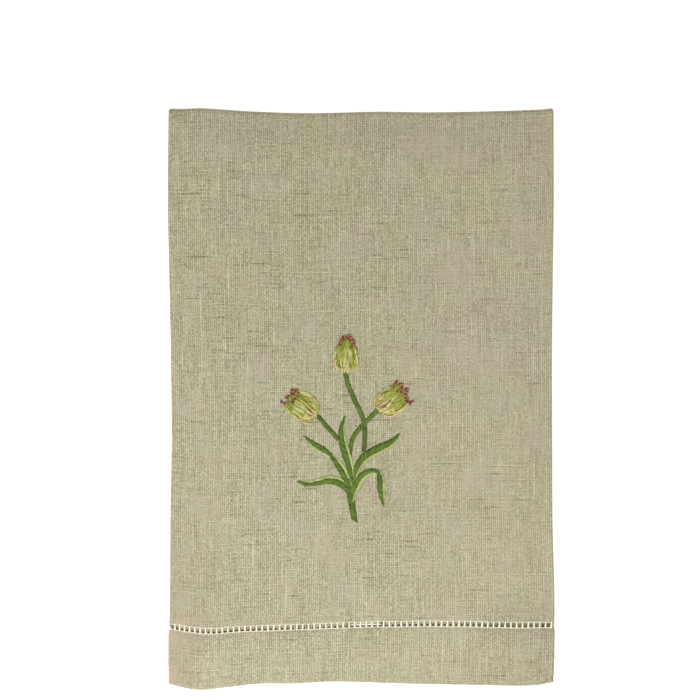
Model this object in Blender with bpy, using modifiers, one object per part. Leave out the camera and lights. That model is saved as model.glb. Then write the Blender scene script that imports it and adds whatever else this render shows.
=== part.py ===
"""A linen hand towel with a drawn-thread ladder above each hem, folded to show one end.

Both sides are folded to the back and the towel is then folded in half, so the hemmed ends lie together. Units
are metres. The towel lies on its back: +Z is up, +Y runs from the hem up to the crosswise fold, and +X is to
the right of a person who looks at the face. The origin is on the underside, below the middle of the face.
"""

import math
from collections import namedtuple

import bmesh
import bpy

# Size of the hemmed cloth before it is folded
CLOTH_WIDTH = 0.356
CLOTH_LENGTH = 0.559
CLOTH_THICK = 0.0010

# The hem is doubled cloth, and the drawn threads leave the ladder thin
HEM_DEPTH = 0.0287
HEM_THICK = 0.0012
LADDER_HEIGHT = 0.0026
LADDER_THICK = 0.0006
LADDER_SLOPE = 0.0012

# Distance between the middles of neighbouring layers, pressed at the folds and fuller inside
STEP_PRESSED = 0.0016
STEP_FULL = 0.0021

# The towel's own centre line lies a little to the left of the middle of the folded face
CENTRE_SHIFT = -0.0022

# The half that lies underneath stands in at the sides and ends above the hem that shows
UNDER_INSET = 0.0008
UNDER_SHORT = 0.0025

# How far in from each edge the pressed layers take to reach their full height
SIDE_SOFTNESS = 0.018
TOP_SOFTNESS = 0.020
HEM_SOFTNESS = 0.026
HEM_END_FULLNESS = 0.35

# The back panels' free edges run a little askew
BACK_EDGE_SKEW = 0.0012

LINEN_COLOUR = (0.49, 0.43, 0.29, 1.0)
LINEN_ROUGHNESS = 0.92

# Outline of the folded face: both side folds, at heights up the face
SideStation = namedtuple("SideStation", "y left right")
SIDES = [
    SideStation(-0.142, -0.0938, 0.0932),
    SideStation(-0.118, -0.0939, 0.0938),
    SideStation(-0.098, -0.0934, 0.0940),
    SideStation(-0.060, -0.0932, 0.0931),
    SideStation(-0.021, -0.0926, 0.0929),
    SideStation(0.018, -0.0929, 0.0928),
    SideStation(0.057, -0.0937, 0.0932),
    SideStation(0.096, -0.0944, 0.0937),
    SideStation(0.142, -0.0941, 0.0936),
]

# Outline of the folded face: the hem's edge, the ladder's middle and the crosswise fold, across the face
EdgeStation = namedtuple("EdgeStation", "x y")
HEM_EDGE = [
    EdgeStation(-0.095, -0.1394),
    EdgeStation(-0.086, -0.1417),
    EdgeStation(-0.078, -0.1425),
    EdgeStation(-0.066, -0.1412),
    EdgeStation(-0.050, -0.1395),
    EdgeStation(-0.032, -0.1394),
    EdgeStation(-0.014, -0.1385),
    EdgeStation(0.020, -0.1394),
    EdgeStation(0.050, -0.1400),
    EdgeStation(0.084, -0.1404),
    EdgeStation(0.095, -0.1388),
]
LADDER_LINE = [
    EdgeStation(-0.095, -0.1115),
    EdgeStation(-0.075, -0.1136),
    EdgeStation(-0.060, -0.1127),
    EdgeStation(-0.030, -0.1116),
    EdgeStation(0.002, -0.1105),
    EdgeStation(0.038, -0.1100),
    EdgeStation(0.069, -0.1106),
    EdgeStation(0.095, -0.1108),
]
TOP_EDGE = [
    EdgeStation(-0.095, 0.1402),
    EdgeStation(-0.078, 0.1410),
    EdgeStation(-0.055, 0.1395),
    EdgeStation(-0.026, 0.1386),
    EdgeStation(0.009, 0.1393),
    EdgeStation(0.032, 0.1390),
    EdgeStation(0.067, 0.1396),
    EdgeStation(0.095, 0.1406),
]

# Soft swells and hollows of the face, each a share of the layers' extra height
Swell = namedtuple("Swell", "x y reach_x reach_y height")
SWELLS = [
    Swell(-0.058, 0.030, 0.036, 0.058, 0.40),
    Swell(0.056, 0.066, 0.034, 0.046, -0.30),
    Swell(0.012, -0.074, 0.052, 0.028, 0.28),
    Swell(-0.076, -0.126, 0.020, 0.016, 0.90),
    Swell(0.058, -0.112, 0.030, 0.026, -0.30),
    Swell(0.070, -0.010, 0.022, 0.050, 0.25),
]

# How finely the cloth is divided
FRONT_DIVISIONS = 18
BACK_DIVISIONS = 5
SIDE_TURN_DIVISIONS = 6
TOP_TURN_DIVISIONS = 8
HEM_DIVISIONS = 3
PANEL_DIVISIONS = 13

# Derived sizes
BASE = CLOTH_THICK / 2
FACE_HALF = CLOTH_WIDTH / 4 + 0.0045
SIDE_RADIUS = STEP_PRESSED / 2
TURN_OUTER = 1.5 * STEP_PRESSED + CLOTH_THICK / 2

# One line of points across the cloth, or one along it: the stretch it is in, and how far along that stretch
Station = namedtuple("Station", "part fraction")


def smooth_step(value):
    """Ease from 0 to 1 as value goes from 0 to 1, and stay there outside."""
    t = min(max(value, 0.0), 1.0)
    return t * t * (3.0 - 2.0 * t)


def slope_at(knots, i):
    """Slope of a smooth curve through the knots, at knot i."""
    low = knots[max(i - 1, 0)]
    high = knots[min(i + 1, len(knots) - 1)]
    return (high[1] - low[1]) / (high[0] - low[0])


def curve_value(knots, place):
    """Height at place of the smooth curve through knots, which are pairs in rising order."""
    place = min(max(place, knots[0][0]), knots[-1][0])
    i = 0
    while i < len(knots) - 2 and knots[i + 1][0] < place:
        i += 1
    (start, low), (end, high) = knots[i], knots[i + 1]
    span = end - start
    t = (place - start) / span
    return (
        low * (1 + 2 * t) * (1 - t) ** 2
        + high * t * t * (3 - 2 * t)
        + slope_at(knots, i) * span * t * (1 - t) ** 2
        + slope_at(knots, i + 1) * span * t * t * (t - 1)
    )


def left_fold(y):
    """Outer edge of the left side fold at height y of the face."""
    return curve_value([(s.y, s.left) for s in SIDES], y)


def right_fold(y):
    """Outer edge of the right side fold at height y of the face."""
    return curve_value([(s.y, s.right) for s in SIDES], y)


def layer_step(x, y):
    """Distance between the middles of neighbouring layers at a point of the face."""
    side = smooth_step((x - left_fold(y)) / SIDE_SOFTNESS) * smooth_step((right_fold(y) - x) / SIDE_SOFTNESS)
    top = smooth_step((curve_value(TOP_EDGE, x) - y) / TOP_SOFTNESS)
    hem = smooth_step((y - curve_value(HEM_EDGE, x)) / HEM_SOFTNESS)
    swell = sum(
        s.height * math.exp(-(((x - s.x) / s.reach_x) ** 2) - ((y - s.y) / s.reach_y) ** 2) for s in SWELLS
    )
    fullness = side * top * (HEM_END_FULLNESS + (1 - HEM_END_FULLNESS) * hem)
    return STEP_PRESSED + (STEP_FULL - STEP_PRESSED) * fullness * (1 + swell)


def across_stations():
    """Lines of points across the cloth, from the left back panel's free edge to the right one's."""
    stations = [Station("left back", i / BACK_DIVISIONS) for i in range(BACK_DIVISIONS)]
    stations += [Station("left turn", i / SIDE_TURN_DIVISIONS) for i in range(SIDE_TURN_DIVISIONS)]
    stations += [
        Station("front", 0.5 - 0.5 * math.cos(math.pi * i / FRONT_DIVISIONS)) for i in range(FRONT_DIVISIONS)
    ]
    stations += [Station("right turn", i / SIDE_TURN_DIVISIONS) for i in range(SIDE_TURN_DIVISIONS)]
    stations += [Station("right back", i / BACK_DIVISIONS) for i in range(BACK_DIVISIONS + 1)]
    return stations


def along_stations():
    """Lines of points along the cloth, from the hem that shows, over the crosswise fold, to the other hem."""
    hem_end = 1 - (LADDER_HEIGHT / 2 + LADDER_SLOPE) / HEM_DEPTH
    ladder_low = 1 - LADDER_HEIGHT / 2 / HEM_DEPTH
    hem = [hem_end * i / HEM_DIVISIONS for i in range(HEM_DIVISIONS + 1)] + [ladder_low]
    panel_length = CLOTH_LENGTH / 2 - HEM_DEPTH
    ladder_high = LADDER_HEIGHT / 2 / panel_length
    panel_start = (LADDER_HEIGHT / 2 + LADDER_SLOPE) / panel_length
    panel = [ladder_high] + [
        panel_start + (1 - panel_start) * i / PANEL_DIVISIONS for i in range(PANEL_DIVISIONS)
    ]
    stations = [Station("upper hem", f) for f in hem]
    stations += [Station("upper panel", f) for f in panel]
    stations += [Station("turn", i / TOP_TURN_DIVISIONS) for i in range(TOP_TURN_DIVISIONS)]
    stations += [Station("lower panel", 1.0)]
    stations += [Station("lower panel", f) for f in reversed(panel)]
    stations += [Station("lower hem", f) for f in reversed(hem)]
    return stations


def thickness(along):
    """Thickness of the cloth on one line along it: hem, ladder or plain."""
    if along.part.endswith("hem"):
        from_ladder = (1 - along.fraction) * HEM_DEPTH
        beyond = HEM_THICK
    elif along.part.endswith("panel"):
        from_ladder = along.fraction * (CLOTH_LENGTH / 2 - HEM_DEPTH)
        beyond = CLOTH_THICK
    else:
        return CLOTH_THICK
    rise = (from_ladder - LADDER_HEIGHT / 2) / LADDER_SLOPE
    return LADDER_THICK + (beyond - LADDER_THICK) * smooth_step(rise)


def height_on_face(along, x):
    """Height y up the face of a line along the cloth, before any turn, at x."""
    hem, ladder = curve_value(HEM_EDGE, x), curve_value(LADDER_LINE, x)
    turn = curve_value(TOP_EDGE, x) - TURN_OUTER
    short = UNDER_SHORT if along.part.startswith("lower") else 0.0
    if along.part.endswith("hem"):
        return hem + short + (ladder - hem) * along.fraction
    if along.part.endswith("panel"):
        start = ladder + short
        return start + (turn - start) * along.fraction
    return turn


def under_share(along):
    """How far a line along the cloth has gone over to the half underneath: 0 on top, 1 below."""
    if along.part == "turn":
        return along.fraction
    return 1.0 if along.part.startswith("lower") else 0.0


def folded_point(across, along):
    """Place of the cloth's middle surface, folded, for one line across and one line along."""
    nominal_x = {
        "left back": -FACE_HALF * across.fraction,
        "left turn": -FACE_HALF,
        "front": FACE_HALF * (2 * across.fraction - 1),
        "right turn": FACE_HALF,
        "right back": FACE_HALF * (1 - across.fraction),
    }
    y = height_on_face(along, nominal_x[across.part])
    under = under_share(along)
    inset = CLOTH_THICK / 2 + UNDER_INSET * under
    left = left_fold(y) + inset + SIDE_RADIUS
    right = right_fold(y) - inset - SIDE_RADIUS
    turn_length = math.pi * SIDE_RADIUS
    left_back = CLOTH_WIDTH / 2 - (CENTRE_SHIFT - left) - turn_length
    right_back = CLOTH_WIDTH / 2 - (right - CENTRE_SHIFT) - turn_length
    askew = BACK_EDGE_SKEW * math.sin(6.0 * y / CLOTH_WIDTH)

    # depth is 0 in the front panel and 1 in a back panel
    if across.part == "front":
        x, depth = left + (right - left) * across.fraction, 0.0
    elif across.part == "left back":
        x, depth = left + (left_back + askew) * (1 - across.fraction), 1.0
    elif across.part == "right back":
        x, depth = right - (right_back + askew) * across.fraction, 1.0
    else:
        leftward = across.part == "left turn"
        angle = math.pi * (1 - across.fraction if leftward else across.fraction)
        outward = SIDE_RADIUS * math.sin(angle)
        x = left - outward if leftward else right + outward
        depth = 0.5 - 0.5 * math.cos(angle)

    step = layer_step(x, y)
    if along.part == "turn":
        angle = math.pi * along.fraction
        radius = (1.5 - depth) * step
        return x, y + radius * math.sin(angle), BASE + 1.5 * step + radius * math.cos(angle)
    if under:
        front_height = thickness(along) / 2
        return x, y, front_height + depth * (BASE + step - front_height)
    return x, y, BASE + (3 - depth) * step


def clear_scene():
    """Remove the objects of the scene that the file opens with."""
    for item in list(bpy.data.objects):
        bpy.data.objects.remove(item, do_unlink=True)


def linen():
    """The undyed linen of the whole towel."""
    material = bpy.data.materials.new("linen")
    material.use_nodes = True
    shader = material.node_tree.nodes["Principled BSDF"]
    shader.inputs["Base Color"].default_value = LINEN_COLOUR
    shader.inputs["Roughness"].default_value = LINEN_ROUGHNESS
    shader.inputs["Metallic"].default_value = 0.0
    return material


def towel_cloth(collection):
    """The towel as one closed solid: a flat grid, folded point by point and given its thickness."""
    across = across_stations()
    along = along_stations()
    form = bmesh.new()
    bmesh.ops.create_grid(form, x_segments=len(across) - 1, y_segments=len(along) - 1, size=0.5)
    form.verts.ensure_lookup_table()

    mesh = bpy.data.meshes.new("towel_cloth")
    cloth = bpy.data.objects.new("towel_cloth", mesh)
    collection.objects.link(cloth)
    thick = cloth.vertex_groups.new(name="thickness")
    weights = []
    for vert in form.verts:
        i = round((vert.co.x + 0.5) * (len(across) - 1))
        j = round((vert.co.y + 0.5) * (len(along) - 1))
        weights.append(thickness(along[j]) / HEM_THICK)
        vert.co = folded_point(across[i], along[j])
    for face in form.faces:
        face.smooth = True
    form.to_mesh(mesh)
    form.free()
    for index, weight in enumerate(weights):
        thick.add([index], weight, "REPLACE")

    shell = cloth.modifiers.new("cloth thickness", "SOLIDIFY")
    shell.thickness = HEM_THICK
    shell.offset = 0.0
    shell.use_even_offset = True
    shell.vertex_group = thick.name
    mesh.materials.append(linen())
    return cloth


def main():
    """Build the towel."""
    clear_scene()
    collection = bpy.data.collections.new("Hand towel")
    bpy.context.scene.collection.children.link(collection)
    towel_cloth(collection)


main()
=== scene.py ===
"""Looks of a folded linen hand towel: its cloth, the whipped ladders above its hems, and the sprig.

Lengths are metres, unless a name ends in mm. The cloth has flat places: u across it, from its own centre
line, and v along it, from the edge of the hem that shows. FoldPlan carries a flat place to where it lies
once both sides are folded to the back and the towel is folded in half.
"""

import logging
import math
import random
from dataclasses import dataclass, field
from enum import Enum
from typing import Any, NamedTuple, Sequence

import bpy
import numpy as np
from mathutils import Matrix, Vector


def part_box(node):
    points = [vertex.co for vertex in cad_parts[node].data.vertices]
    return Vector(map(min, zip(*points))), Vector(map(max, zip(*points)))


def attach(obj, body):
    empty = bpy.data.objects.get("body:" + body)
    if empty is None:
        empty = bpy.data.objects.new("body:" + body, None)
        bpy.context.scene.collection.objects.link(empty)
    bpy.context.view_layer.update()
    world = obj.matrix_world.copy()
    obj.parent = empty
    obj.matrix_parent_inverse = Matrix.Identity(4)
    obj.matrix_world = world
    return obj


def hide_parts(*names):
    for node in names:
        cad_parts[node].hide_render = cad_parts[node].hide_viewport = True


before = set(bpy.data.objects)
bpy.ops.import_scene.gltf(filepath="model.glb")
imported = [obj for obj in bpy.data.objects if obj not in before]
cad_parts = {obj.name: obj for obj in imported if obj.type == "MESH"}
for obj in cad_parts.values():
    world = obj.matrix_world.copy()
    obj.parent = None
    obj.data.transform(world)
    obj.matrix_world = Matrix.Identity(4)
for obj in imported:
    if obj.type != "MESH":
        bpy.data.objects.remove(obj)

LOG = logging.getLogger("hand_towel")
CLOTH_NODE = "towel_cloth"
BODY = "root"
SEED = 7
MM = 0.001
LAYER_STEPS = 3
SHEEN_ROUGHNESS = 0.6


class Knot(NamedTuple):
    """One point of a smooth profile."""

    at: float
    height: float


class Swell(NamedTuple):
    """A soft swell or hollow of the face, as a share of the layers' extra height."""

    x: float
    y: float
    reach_x: float
    reach_y: float
    height: float


# Outline of the folded face, as part.py has it: side folds by y, and hem, ladder and top fold by x
LEFT_FOLD = (
    Knot(-0.142, -0.0938), Knot(-0.118, -0.0939), Knot(-0.098, -0.0934), Knot(-0.060, -0.0932),
    Knot(-0.021, -0.0926), Knot(0.018, -0.0929), Knot(0.057, -0.0937), Knot(0.096, -0.0944),
    Knot(0.142, -0.0941),
)
RIGHT_FOLD = (
    Knot(-0.142, 0.0932), Knot(-0.118, 0.0938), Knot(-0.098, 0.0940), Knot(-0.060, 0.0931),
    Knot(-0.021, 0.0929), Knot(0.018, 0.0928), Knot(0.057, 0.0932), Knot(0.096, 0.0937),
    Knot(0.142, 0.0936),
)
HEM_EDGE = (
    Knot(-0.095, -0.1394), Knot(-0.086, -0.1417), Knot(-0.078, -0.1425), Knot(-0.066, -0.1412),
    Knot(-0.050, -0.1395), Knot(-0.032, -0.1394), Knot(-0.014, -0.1385), Knot(0.020, -0.1394),
    Knot(0.050, -0.1400), Knot(0.084, -0.1404), Knot(0.095, -0.1388),
)
LADDER_LINE = (
    Knot(-0.095, -0.1115), Knot(-0.075, -0.1136), Knot(-0.060, -0.1127), Knot(-0.030, -0.1116),
    Knot(0.002, -0.1105), Knot(0.038, -0.1100), Knot(0.069, -0.1106), Knot(0.095, -0.1108),
)
TOP_FOLD = (
    Knot(-0.095, 0.1409), Knot(-0.088, 0.1407), Knot(-0.078, 0.1410), Knot(-0.055, 0.1395),
    Knot(-0.026, 0.1386), Knot(0.009, 0.1393), Knot(0.032, 0.1390), Knot(0.067, 0.1396),
    Knot(0.088, 0.1404), Knot(0.095, 0.1411),
)
SWELLS = (
    Swell(-0.058, 0.030, 0.036, 0.058, 0.40),
    Swell(0.056, 0.066, 0.034, 0.046, -0.30),
    Swell(0.012, -0.074, 0.052, 0.028, 0.28),
    Swell(-0.076, -0.126, 0.020, 0.016, 0.90),
    Swell(0.058, -0.112, 0.030, 0.026, -0.30),
    Swell(0.070, -0.010, 0.022, 0.050, 0.25),
)


def eased(value: np.ndarray) -> np.ndarray:
    """Ease from 0 to 1 as value goes from 0 to 1, and stay there outside."""
    t = np.clip(value, 0.0, 1.0)
    return t * t * (3.0 - 2.0 * t)


def profile(knots: Sequence[tuple[float, float]], place: np.ndarray) -> np.ndarray:
    """Height of the smooth curve through the knots.

    Args:
        knots: Pairs of place and height, in rising order of place.
        place: Where to read the curve; beyond its ends it stays level.

    Returns:
        The height at each place.
    """
    at, height = np.array(knots, float).T
    place = np.clip(place, at[0], at[-1])
    after = np.minimum(np.arange(len(at)) + 1, len(at) - 1)
    before = np.maximum(np.arange(len(at)) - 1, 0)
    slope = (height[after] - height[before]) / (at[after] - at[before])
    i = np.clip(np.searchsorted(at, place) - 1, 0, len(at) - 2)
    span = at[i + 1] - at[i]
    t = (place - at[i]) / span
    return (
        height[i] * (1 + 2 * t) * (1 - t) ** 2
        + height[i + 1] * t * t * (3 - 2 * t)
        + slope[i] * span * t * (1 - t) ** 2
        + slope[i + 1] * span * t * t * (t - 1)
    )


class Ramp(NamedTuple):
    """An eased rise from 0 to 1 between two places."""

    start: float
    stop: float

    def at(self, place: np.ndarray) -> np.ndarray:
        """Height of the rise at each place."""
        return eased((place - self.start) / (self.stop - self.start))


def unit(vectors: np.ndarray) -> np.ndarray:
    """The vectors at length 1."""
    return vectors / np.maximum(np.linalg.norm(vectors, axis=-1, keepdims=True), 1e-12)


@dataclass(frozen=True)
class FoldPlan:
    """How the flat cloth folds: its sizes, the steps between its layers, and where each flat place goes.

    A slip is how far a layer's ladder lies nearer the hem than the ladder of the face. The gap is the
    stretch between the ends of the back panels, where the lowest ladder shows through the face's holes.
    """

    # The flat cloth, and how thick it is
    width: float = 0.356
    length: float = 0.559
    hem_depth: float = 0.0287
    hole_height: float = 0.0025
    cloth: float = 0.0006
    hem: float = 0.0012
    bar_cloth: float = 0.0004
    bar_cloth_step: float = 0.0007
    selvedge: float = 0.0010
    selvedge_width: float = 0.005
    selvedge_step: float = 0.001
    edge_least_share: float = 0.12

    # The folded face, and the steps between the middles of its layers
    centre_shift: float = -0.0022
    face_half: float = 0.0935
    step_pressed: float = 0.0016
    step_full: float = 0.0021
    side_softness: float = 0.018
    top_softness: float = 0.020
    hem_softness: float = 0.026
    hem_end_fullness: float = 0.35
    turn_closeness: float = 0.45

    # How the layers lie against each other
    under_inset: float = 0.0008
    under_short: float = 0.0025
    under_slip: float = 0.0012
    under_back_slip: float = 0.0023
    back_slip_left: float = 0.0016
    back_slip_right: float = 0.0014
    back_slip_less: float = 0.0007
    slip_lessens: Ramp = Ramp(0.020, 0.090)
    clearance: float = 0.00003
    thread_rest: float = 0.0005
    thread_rest_reach: float = 0.004

    # How they move towards each other near the ladder, by distance above it or from the side
    ladder_spacing: float = 0.00075
    close_from: Ramp = Ramp(-0.0033, -0.0012)
    close_until: Ramp = Ramp(0.0020, 0.0160)
    close_beside: Ramp = Ramp(0.0005, 0.0065)
    right_looseness: float = 0.6
    loose_right: Ramp = Ramp(0.040, 0.075)
    under_back_lift: float = 0.0025
    lift_from: Ramp = Ramp(-0.0080, -0.0030)
    lift_until: Ramp = Ramp(0.0030, 0.0170)
    lift_beside: Ramp = Ramp(0.0, 0.0090)
    gap_middle: float = 0.0022
    gap_edge: Ramp = Ramp(0.0070, 0.0102)
    gap_reach: float = 0.013
    gap_sag: float = 0.0012
    gap_ridge: float = 0.0044
    ridge_less: float = 0.0009
    ridge_lessens: Ramp = Ramp(0.0012, 0.0027)

    @property
    def side_radius(self) -> float:
        """Radius of a side fold, at the cloth's middle."""
        return self.step_pressed / 2

    @property
    def side_turn(self) -> float:
        """Flat width that one side fold takes up."""
        return math.pi * self.side_radius

    @property
    def top_radius(self) -> float:
        """Radius of the crosswise fold's outer layer, at the cloth's middle."""
        return self.step_pressed * LAYER_STEPS / 2

    @property
    def top_turn(self) -> float:
        """Flat length that the crosswise fold takes up."""
        return math.pi * self.top_radius

    @property
    def turn_start(self) -> float:
        """Flat place v where the crosswise fold begins."""
        return (self.length - self.top_turn) / 2

    @property
    def front_ends(self) -> tuple[float, float]:
        """Flat places u where the front panel begins and ends."""
        half = self.face_half - self.cloth / 2 - self.side_radius
        return -half - self.centre_shift, half - self.centre_shift

    def layer_step(self, x: np.ndarray, y: np.ndarray) -> np.ndarray:
        """Distance between the middles of neighbouring layers at places of the face."""
        left, right = profile(LEFT_FOLD, y), profile(RIGHT_FOLD, y)
        side = eased((x - left) / self.side_softness) * eased((right - x) / self.side_softness)
        top = eased((profile(TOP_FOLD, x) - y) / self.top_softness)
        hem = eased((y - profile(HEM_EDGE, x)) / self.hem_softness)
        swell = sum(
            s.height * np.exp(-(((x - s.x) / s.reach_x) ** 2) - ((y - s.y) / s.reach_y) ** 2)
            for s in SWELLS
        )
        fullness = side * top * (self.hem_end_fullness + (1 - self.hem_end_fullness) * hem)
        return self.step_pressed + (self.step_full - self.step_pressed) * fullness * (1 + swell)

    def upper_spacing(self, x: np.ndarray, step: np.ndarray, from_ladder: np.ndarray) -> np.ndarray:
        """Distance between the two upper layers, which lie closer where the ladder has thinned them."""
        close = self.close_from.at(from_ladder) * (1 - self.close_until.at(from_ladder))
        close = close * self.close_beside.at(self.face_half - np.abs(x))
        close = close * (1 - self.right_looseness * self.loose_right.at(x))
        return step + (self.ladder_spacing - step) * close

    def ladder_lift(
        self, x: np.ndarray, from_ladder: np.ndarray, depth: np.ndarray, upper: np.ndarray
    ) -> np.ndarray:
        """How far the layers near the ladder move towards each other, so that cloth shows in the holes.

        The lower back panels rise there. In the gap the face sags a little, and the lowest layer rises in a
        soft ridge.

        Args:
            x: Places across the folded towel.
            from_ladder: Distances above the face's ladder.
            depth: 0 on a front panel, 1 on a back panel, and between them in a side fold.
            upper: Whether each place is in the upper half of the pile.

        Returns:
            The rise of each place.
        """
        near = self.lift_from.at(from_ladder) * (1 - self.lift_until.at(from_ladder))
        near = near * self.lift_beside.at(self.face_half - np.abs(x))
        in_gap = (1 - depth) * (1 - self.gap_edge.at(np.abs(x - self.gap_middle)))
        in_gap = in_gap * np.exp(-((from_ladder / self.gap_reach) ** 2))
        ridge = self.gap_ridge - self.ridge_less * self.ridge_lessens.at(-from_ladder)
        return np.where(upper, -self.gap_sag * in_gap, ridge * in_gap + self.under_back_lift * depth * near)

    def own_end(self, v: np.ndarray) -> np.ndarray:
        """Distance along the cloth from the nearer hem's edge."""
        return np.minimum(v, self.length - v)

    def thickness(self, u: np.ndarray, v: np.ndarray) -> np.ndarray:
        """Thickness of the cloth at flat places: doubled at the hem, thin in the ladder, round at edges."""
        end = self.own_end(v)
        side = self.width / 2 - np.abs(u)
        from_holes = np.abs(end - self.hem_depth) - self.hole_height / 2
        beyond = np.where(end < self.hem_depth, self.hem, self.cloth)
        selvedge = eased((self.selvedge_width - side) / self.selvedge_step)
        beyond = np.maximum(beyond, self.cloth + (self.selvedge - self.cloth) * selvedge)
        thick = self.bar_cloth + (beyond - self.bar_cloth) * eased(from_holes / self.bar_cloth_step)
        edge = np.clip(np.minimum(end / (self.hem / 2), side / (self.selvedge / 2)), 0.0, 1.0)
        return thick * np.maximum(np.sqrt(1 - (1 - edge) ** 2), self.edge_least_share)

    def row(self, u: np.ndarray, v: np.ndarray, near_x: np.ndarray, depth: np.ndarray) -> np.ndarray:
        """How far up the face each flat place lies, short of the crosswise fold's own bulge.

        Args:
            u: Flat places across the cloth.
            v: Flat places along the cloth.
            near_x: About where each place lies across the folded towel.
            depth: 0 on a front panel, 1 on a back panel, and between them in a side fold.

        Returns:
            The places y.
        """
        end = self.own_end(v)
        upper = v <= self.length / 2
        slip_right = self.back_slip_right - self.back_slip_less * self.slip_lessens.at(near_x)
        back_slip = depth * np.where(u < 0, self.back_slip_left, slip_right)
        under_slip = self.under_slip + depth * self.under_back_slip
        hem_y = profile(HEM_EDGE, near_x) + np.where(upper, 0.0, self.under_short)
        ladder_y = profile(LADDER_LINE, near_x) - np.where(upper, back_slip, under_slip)
        turn_y = profile(TOP_FOLD, near_x) - self.top_radius - self.cloth / 2
        panel = (end - self.hem_depth) / (self.turn_start - self.hem_depth)
        return (
            hem_y
            + (ladder_y - hem_y) * np.clip(end / self.hem_depth, 0, 1)
            + (turn_y - ladder_y) * np.clip(panel, 0, 1)
        )

    def fold(self, u: np.ndarray, v: np.ndarray) -> np.ndarray:
        """Carry flat places of the cloth's middle surface to where they lie, folded.

        Args:
            u: Flat places across the cloth, from its centre line.
            v: Flat places along the cloth, from the edge of the hem that shows.

        Returns:
            Points, with one more axis than u and v.
        """
        u, v = np.broadcast_arrays(np.asarray(u, float), np.asarray(v, float))
        start, stop = self.front_ends
        front = np.clip((u - start) / (stop - start), 0, 1)
        left_angle = np.clip((start - u) / self.side_turn, 0, 1) * math.pi
        right_angle = np.clip((u - stop) / self.side_turn, 0, 1) * math.pi
        inward = np.maximum(start - self.side_turn - u, 0) - np.maximum(u - stop - self.side_turn, 0)
        depth = 0.5 - 0.5 * np.cos(left_angle + right_angle)
        over = np.clip((v - self.turn_start) / self.top_turn, 0, 1)

        near_x = self.face_half * (2 * front - 1) + inward
        y = self.row(u, v, near_x, depth)
        inset = self.cloth / 2 + self.side_radius + self.under_inset * over**2
        left = profile(LEFT_FOLD, y) + inset
        right = profile(RIGHT_FOLD, y) - inset
        x = left + (right - left) * front + inward
        x = x + self.side_radius * (np.sin(right_angle) - np.sin(left_angle))

        step = self.layer_step(x, y)
        from_ladder = y - profile(LADDER_LINE, near_x)
        base = self.cloth / 2
        half = LAYER_STEPS / 2 * step
        on_threads = np.exp(-(((self.own_end(v) - self.hem_depth) / self.thread_rest_reach) ** 2))
        lowest = self.thickness(u, v) / 2 + self.clearance + self.thread_rest * on_threads
        upper_z = base + 2 * half - depth * self.upper_spacing(x, step, from_ladder)
        lower_z = lowest + depth * (base + step - lowest)
        turning_z = base + half + (half - depth * step) * np.cos(over * math.pi)
        z = np.where(over <= 0, upper_z, np.where(over >= 1, lower_z, turning_z))
        z = z + self.ladder_lift(x, from_ladder, depth, v <= self.length / 2)
        reach = half - self.turn_closeness * depth * step
        return np.stack([x, y + reach * np.sin(over * math.pi), z], axis=-1)

    def outward(self, u: np.ndarray, v: np.ndarray) -> np.ndarray:
        """Directions away from the cloth's right side at flat places."""
        nudge = 0.02 * MM
        across = self.fold(u + nudge, v) - self.fold(u - nudge, v)
        along = self.fold(u, v + nudge) - self.fold(u, v - nudge)
        return unit(np.cross(across, along))

    def on_cloth(self, u: np.ndarray, v: np.ndarray, lift: np.ndarray) -> np.ndarray:
        """Points that stand off the cloth's middle surface, towards its right side, by lift."""
        return self.fold(u, v) + self.outward(u, v) * np.asarray(lift)[..., None]

    def on_face(self, x: np.ndarray, y: np.ndarray, lift: np.ndarray) -> np.ndarray:
        """Points over the face that shows, at the given height above the cloth."""
        z = self.cloth + LAYER_STEPS * self.layer_step(x, y) + lift
        return np.stack(np.broadcast_arrays(x, y, z), axis=-1)


@dataclass(frozen=True)
class HolePlan:
    """Where the ladder's holes lie across the cloth: even, but crowded where the left fold rolls away.

    On the panel that is folded back on the left they lie a little closer.
    """

    pitch: float = 0.002805
    bar: float = 0.00078
    first_gap: float = 0.0008
    squeeze: float = 0.0029
    squeeze_holes: float = 4.5
    back_pitch: float = 0.00267
    fold_gap: float = 0.00345
    shut_from: float = 0.0002
    shut_until: float = 0.0024

    def centres(self, plan: FoldPlan) -> np.ndarray:
        """Flat places u of the middles of the holes, from left to right."""
        start = plan.front_ends[0] + self.first_gap
        count = np.arange(int(plan.width / self.pitch))
        rightward = start + self.pitch * count - self.squeeze * (1 - np.exp(-count / self.squeeze_holes))
        rightward = rightward[rightward <= plan.width / 2 - self.pitch]
        leftward = np.arange(start - self.fold_gap, -plan.width / 2 + self.back_pitch, -self.back_pitch)
        return np.concatenate([leftward[::-1], rightward])

    def edges(self, plan: FoldPlan) -> np.ndarray:
        """Left and right edge of each hole, one row a hole."""
        middles = self.centres(plan)
        between = (middles[1:] + middles[:-1]) / 2
        left = np.concatenate([[middles[0] - self.pitch / 2], between]) + self.bar / 2
        right = np.concatenate([between, [middles[-1] + self.pitch / 2]]) - self.bar / 2
        return np.stack([left, right], axis=1)

    def pulled_shut(self, plan: FoldPlan) -> np.ndarray:
        """Whether each hole is the one on the right fold, which the thread has pulled shut."""
        past_fold = self.centres(plan) - plan.front_ends[1]
        return (past_fold > self.shut_from) & (past_fold < self.shut_until)

    def bars(self, plan: FoldPlan) -> np.ndarray:
        """Flat places u of the middles of the bars, one more than the holes."""
        edges = self.edges(plan)
        return np.concatenate([edges[:, 0] - self.bar / 2, [edges[-1, 1] + self.bar / 2]])


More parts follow.
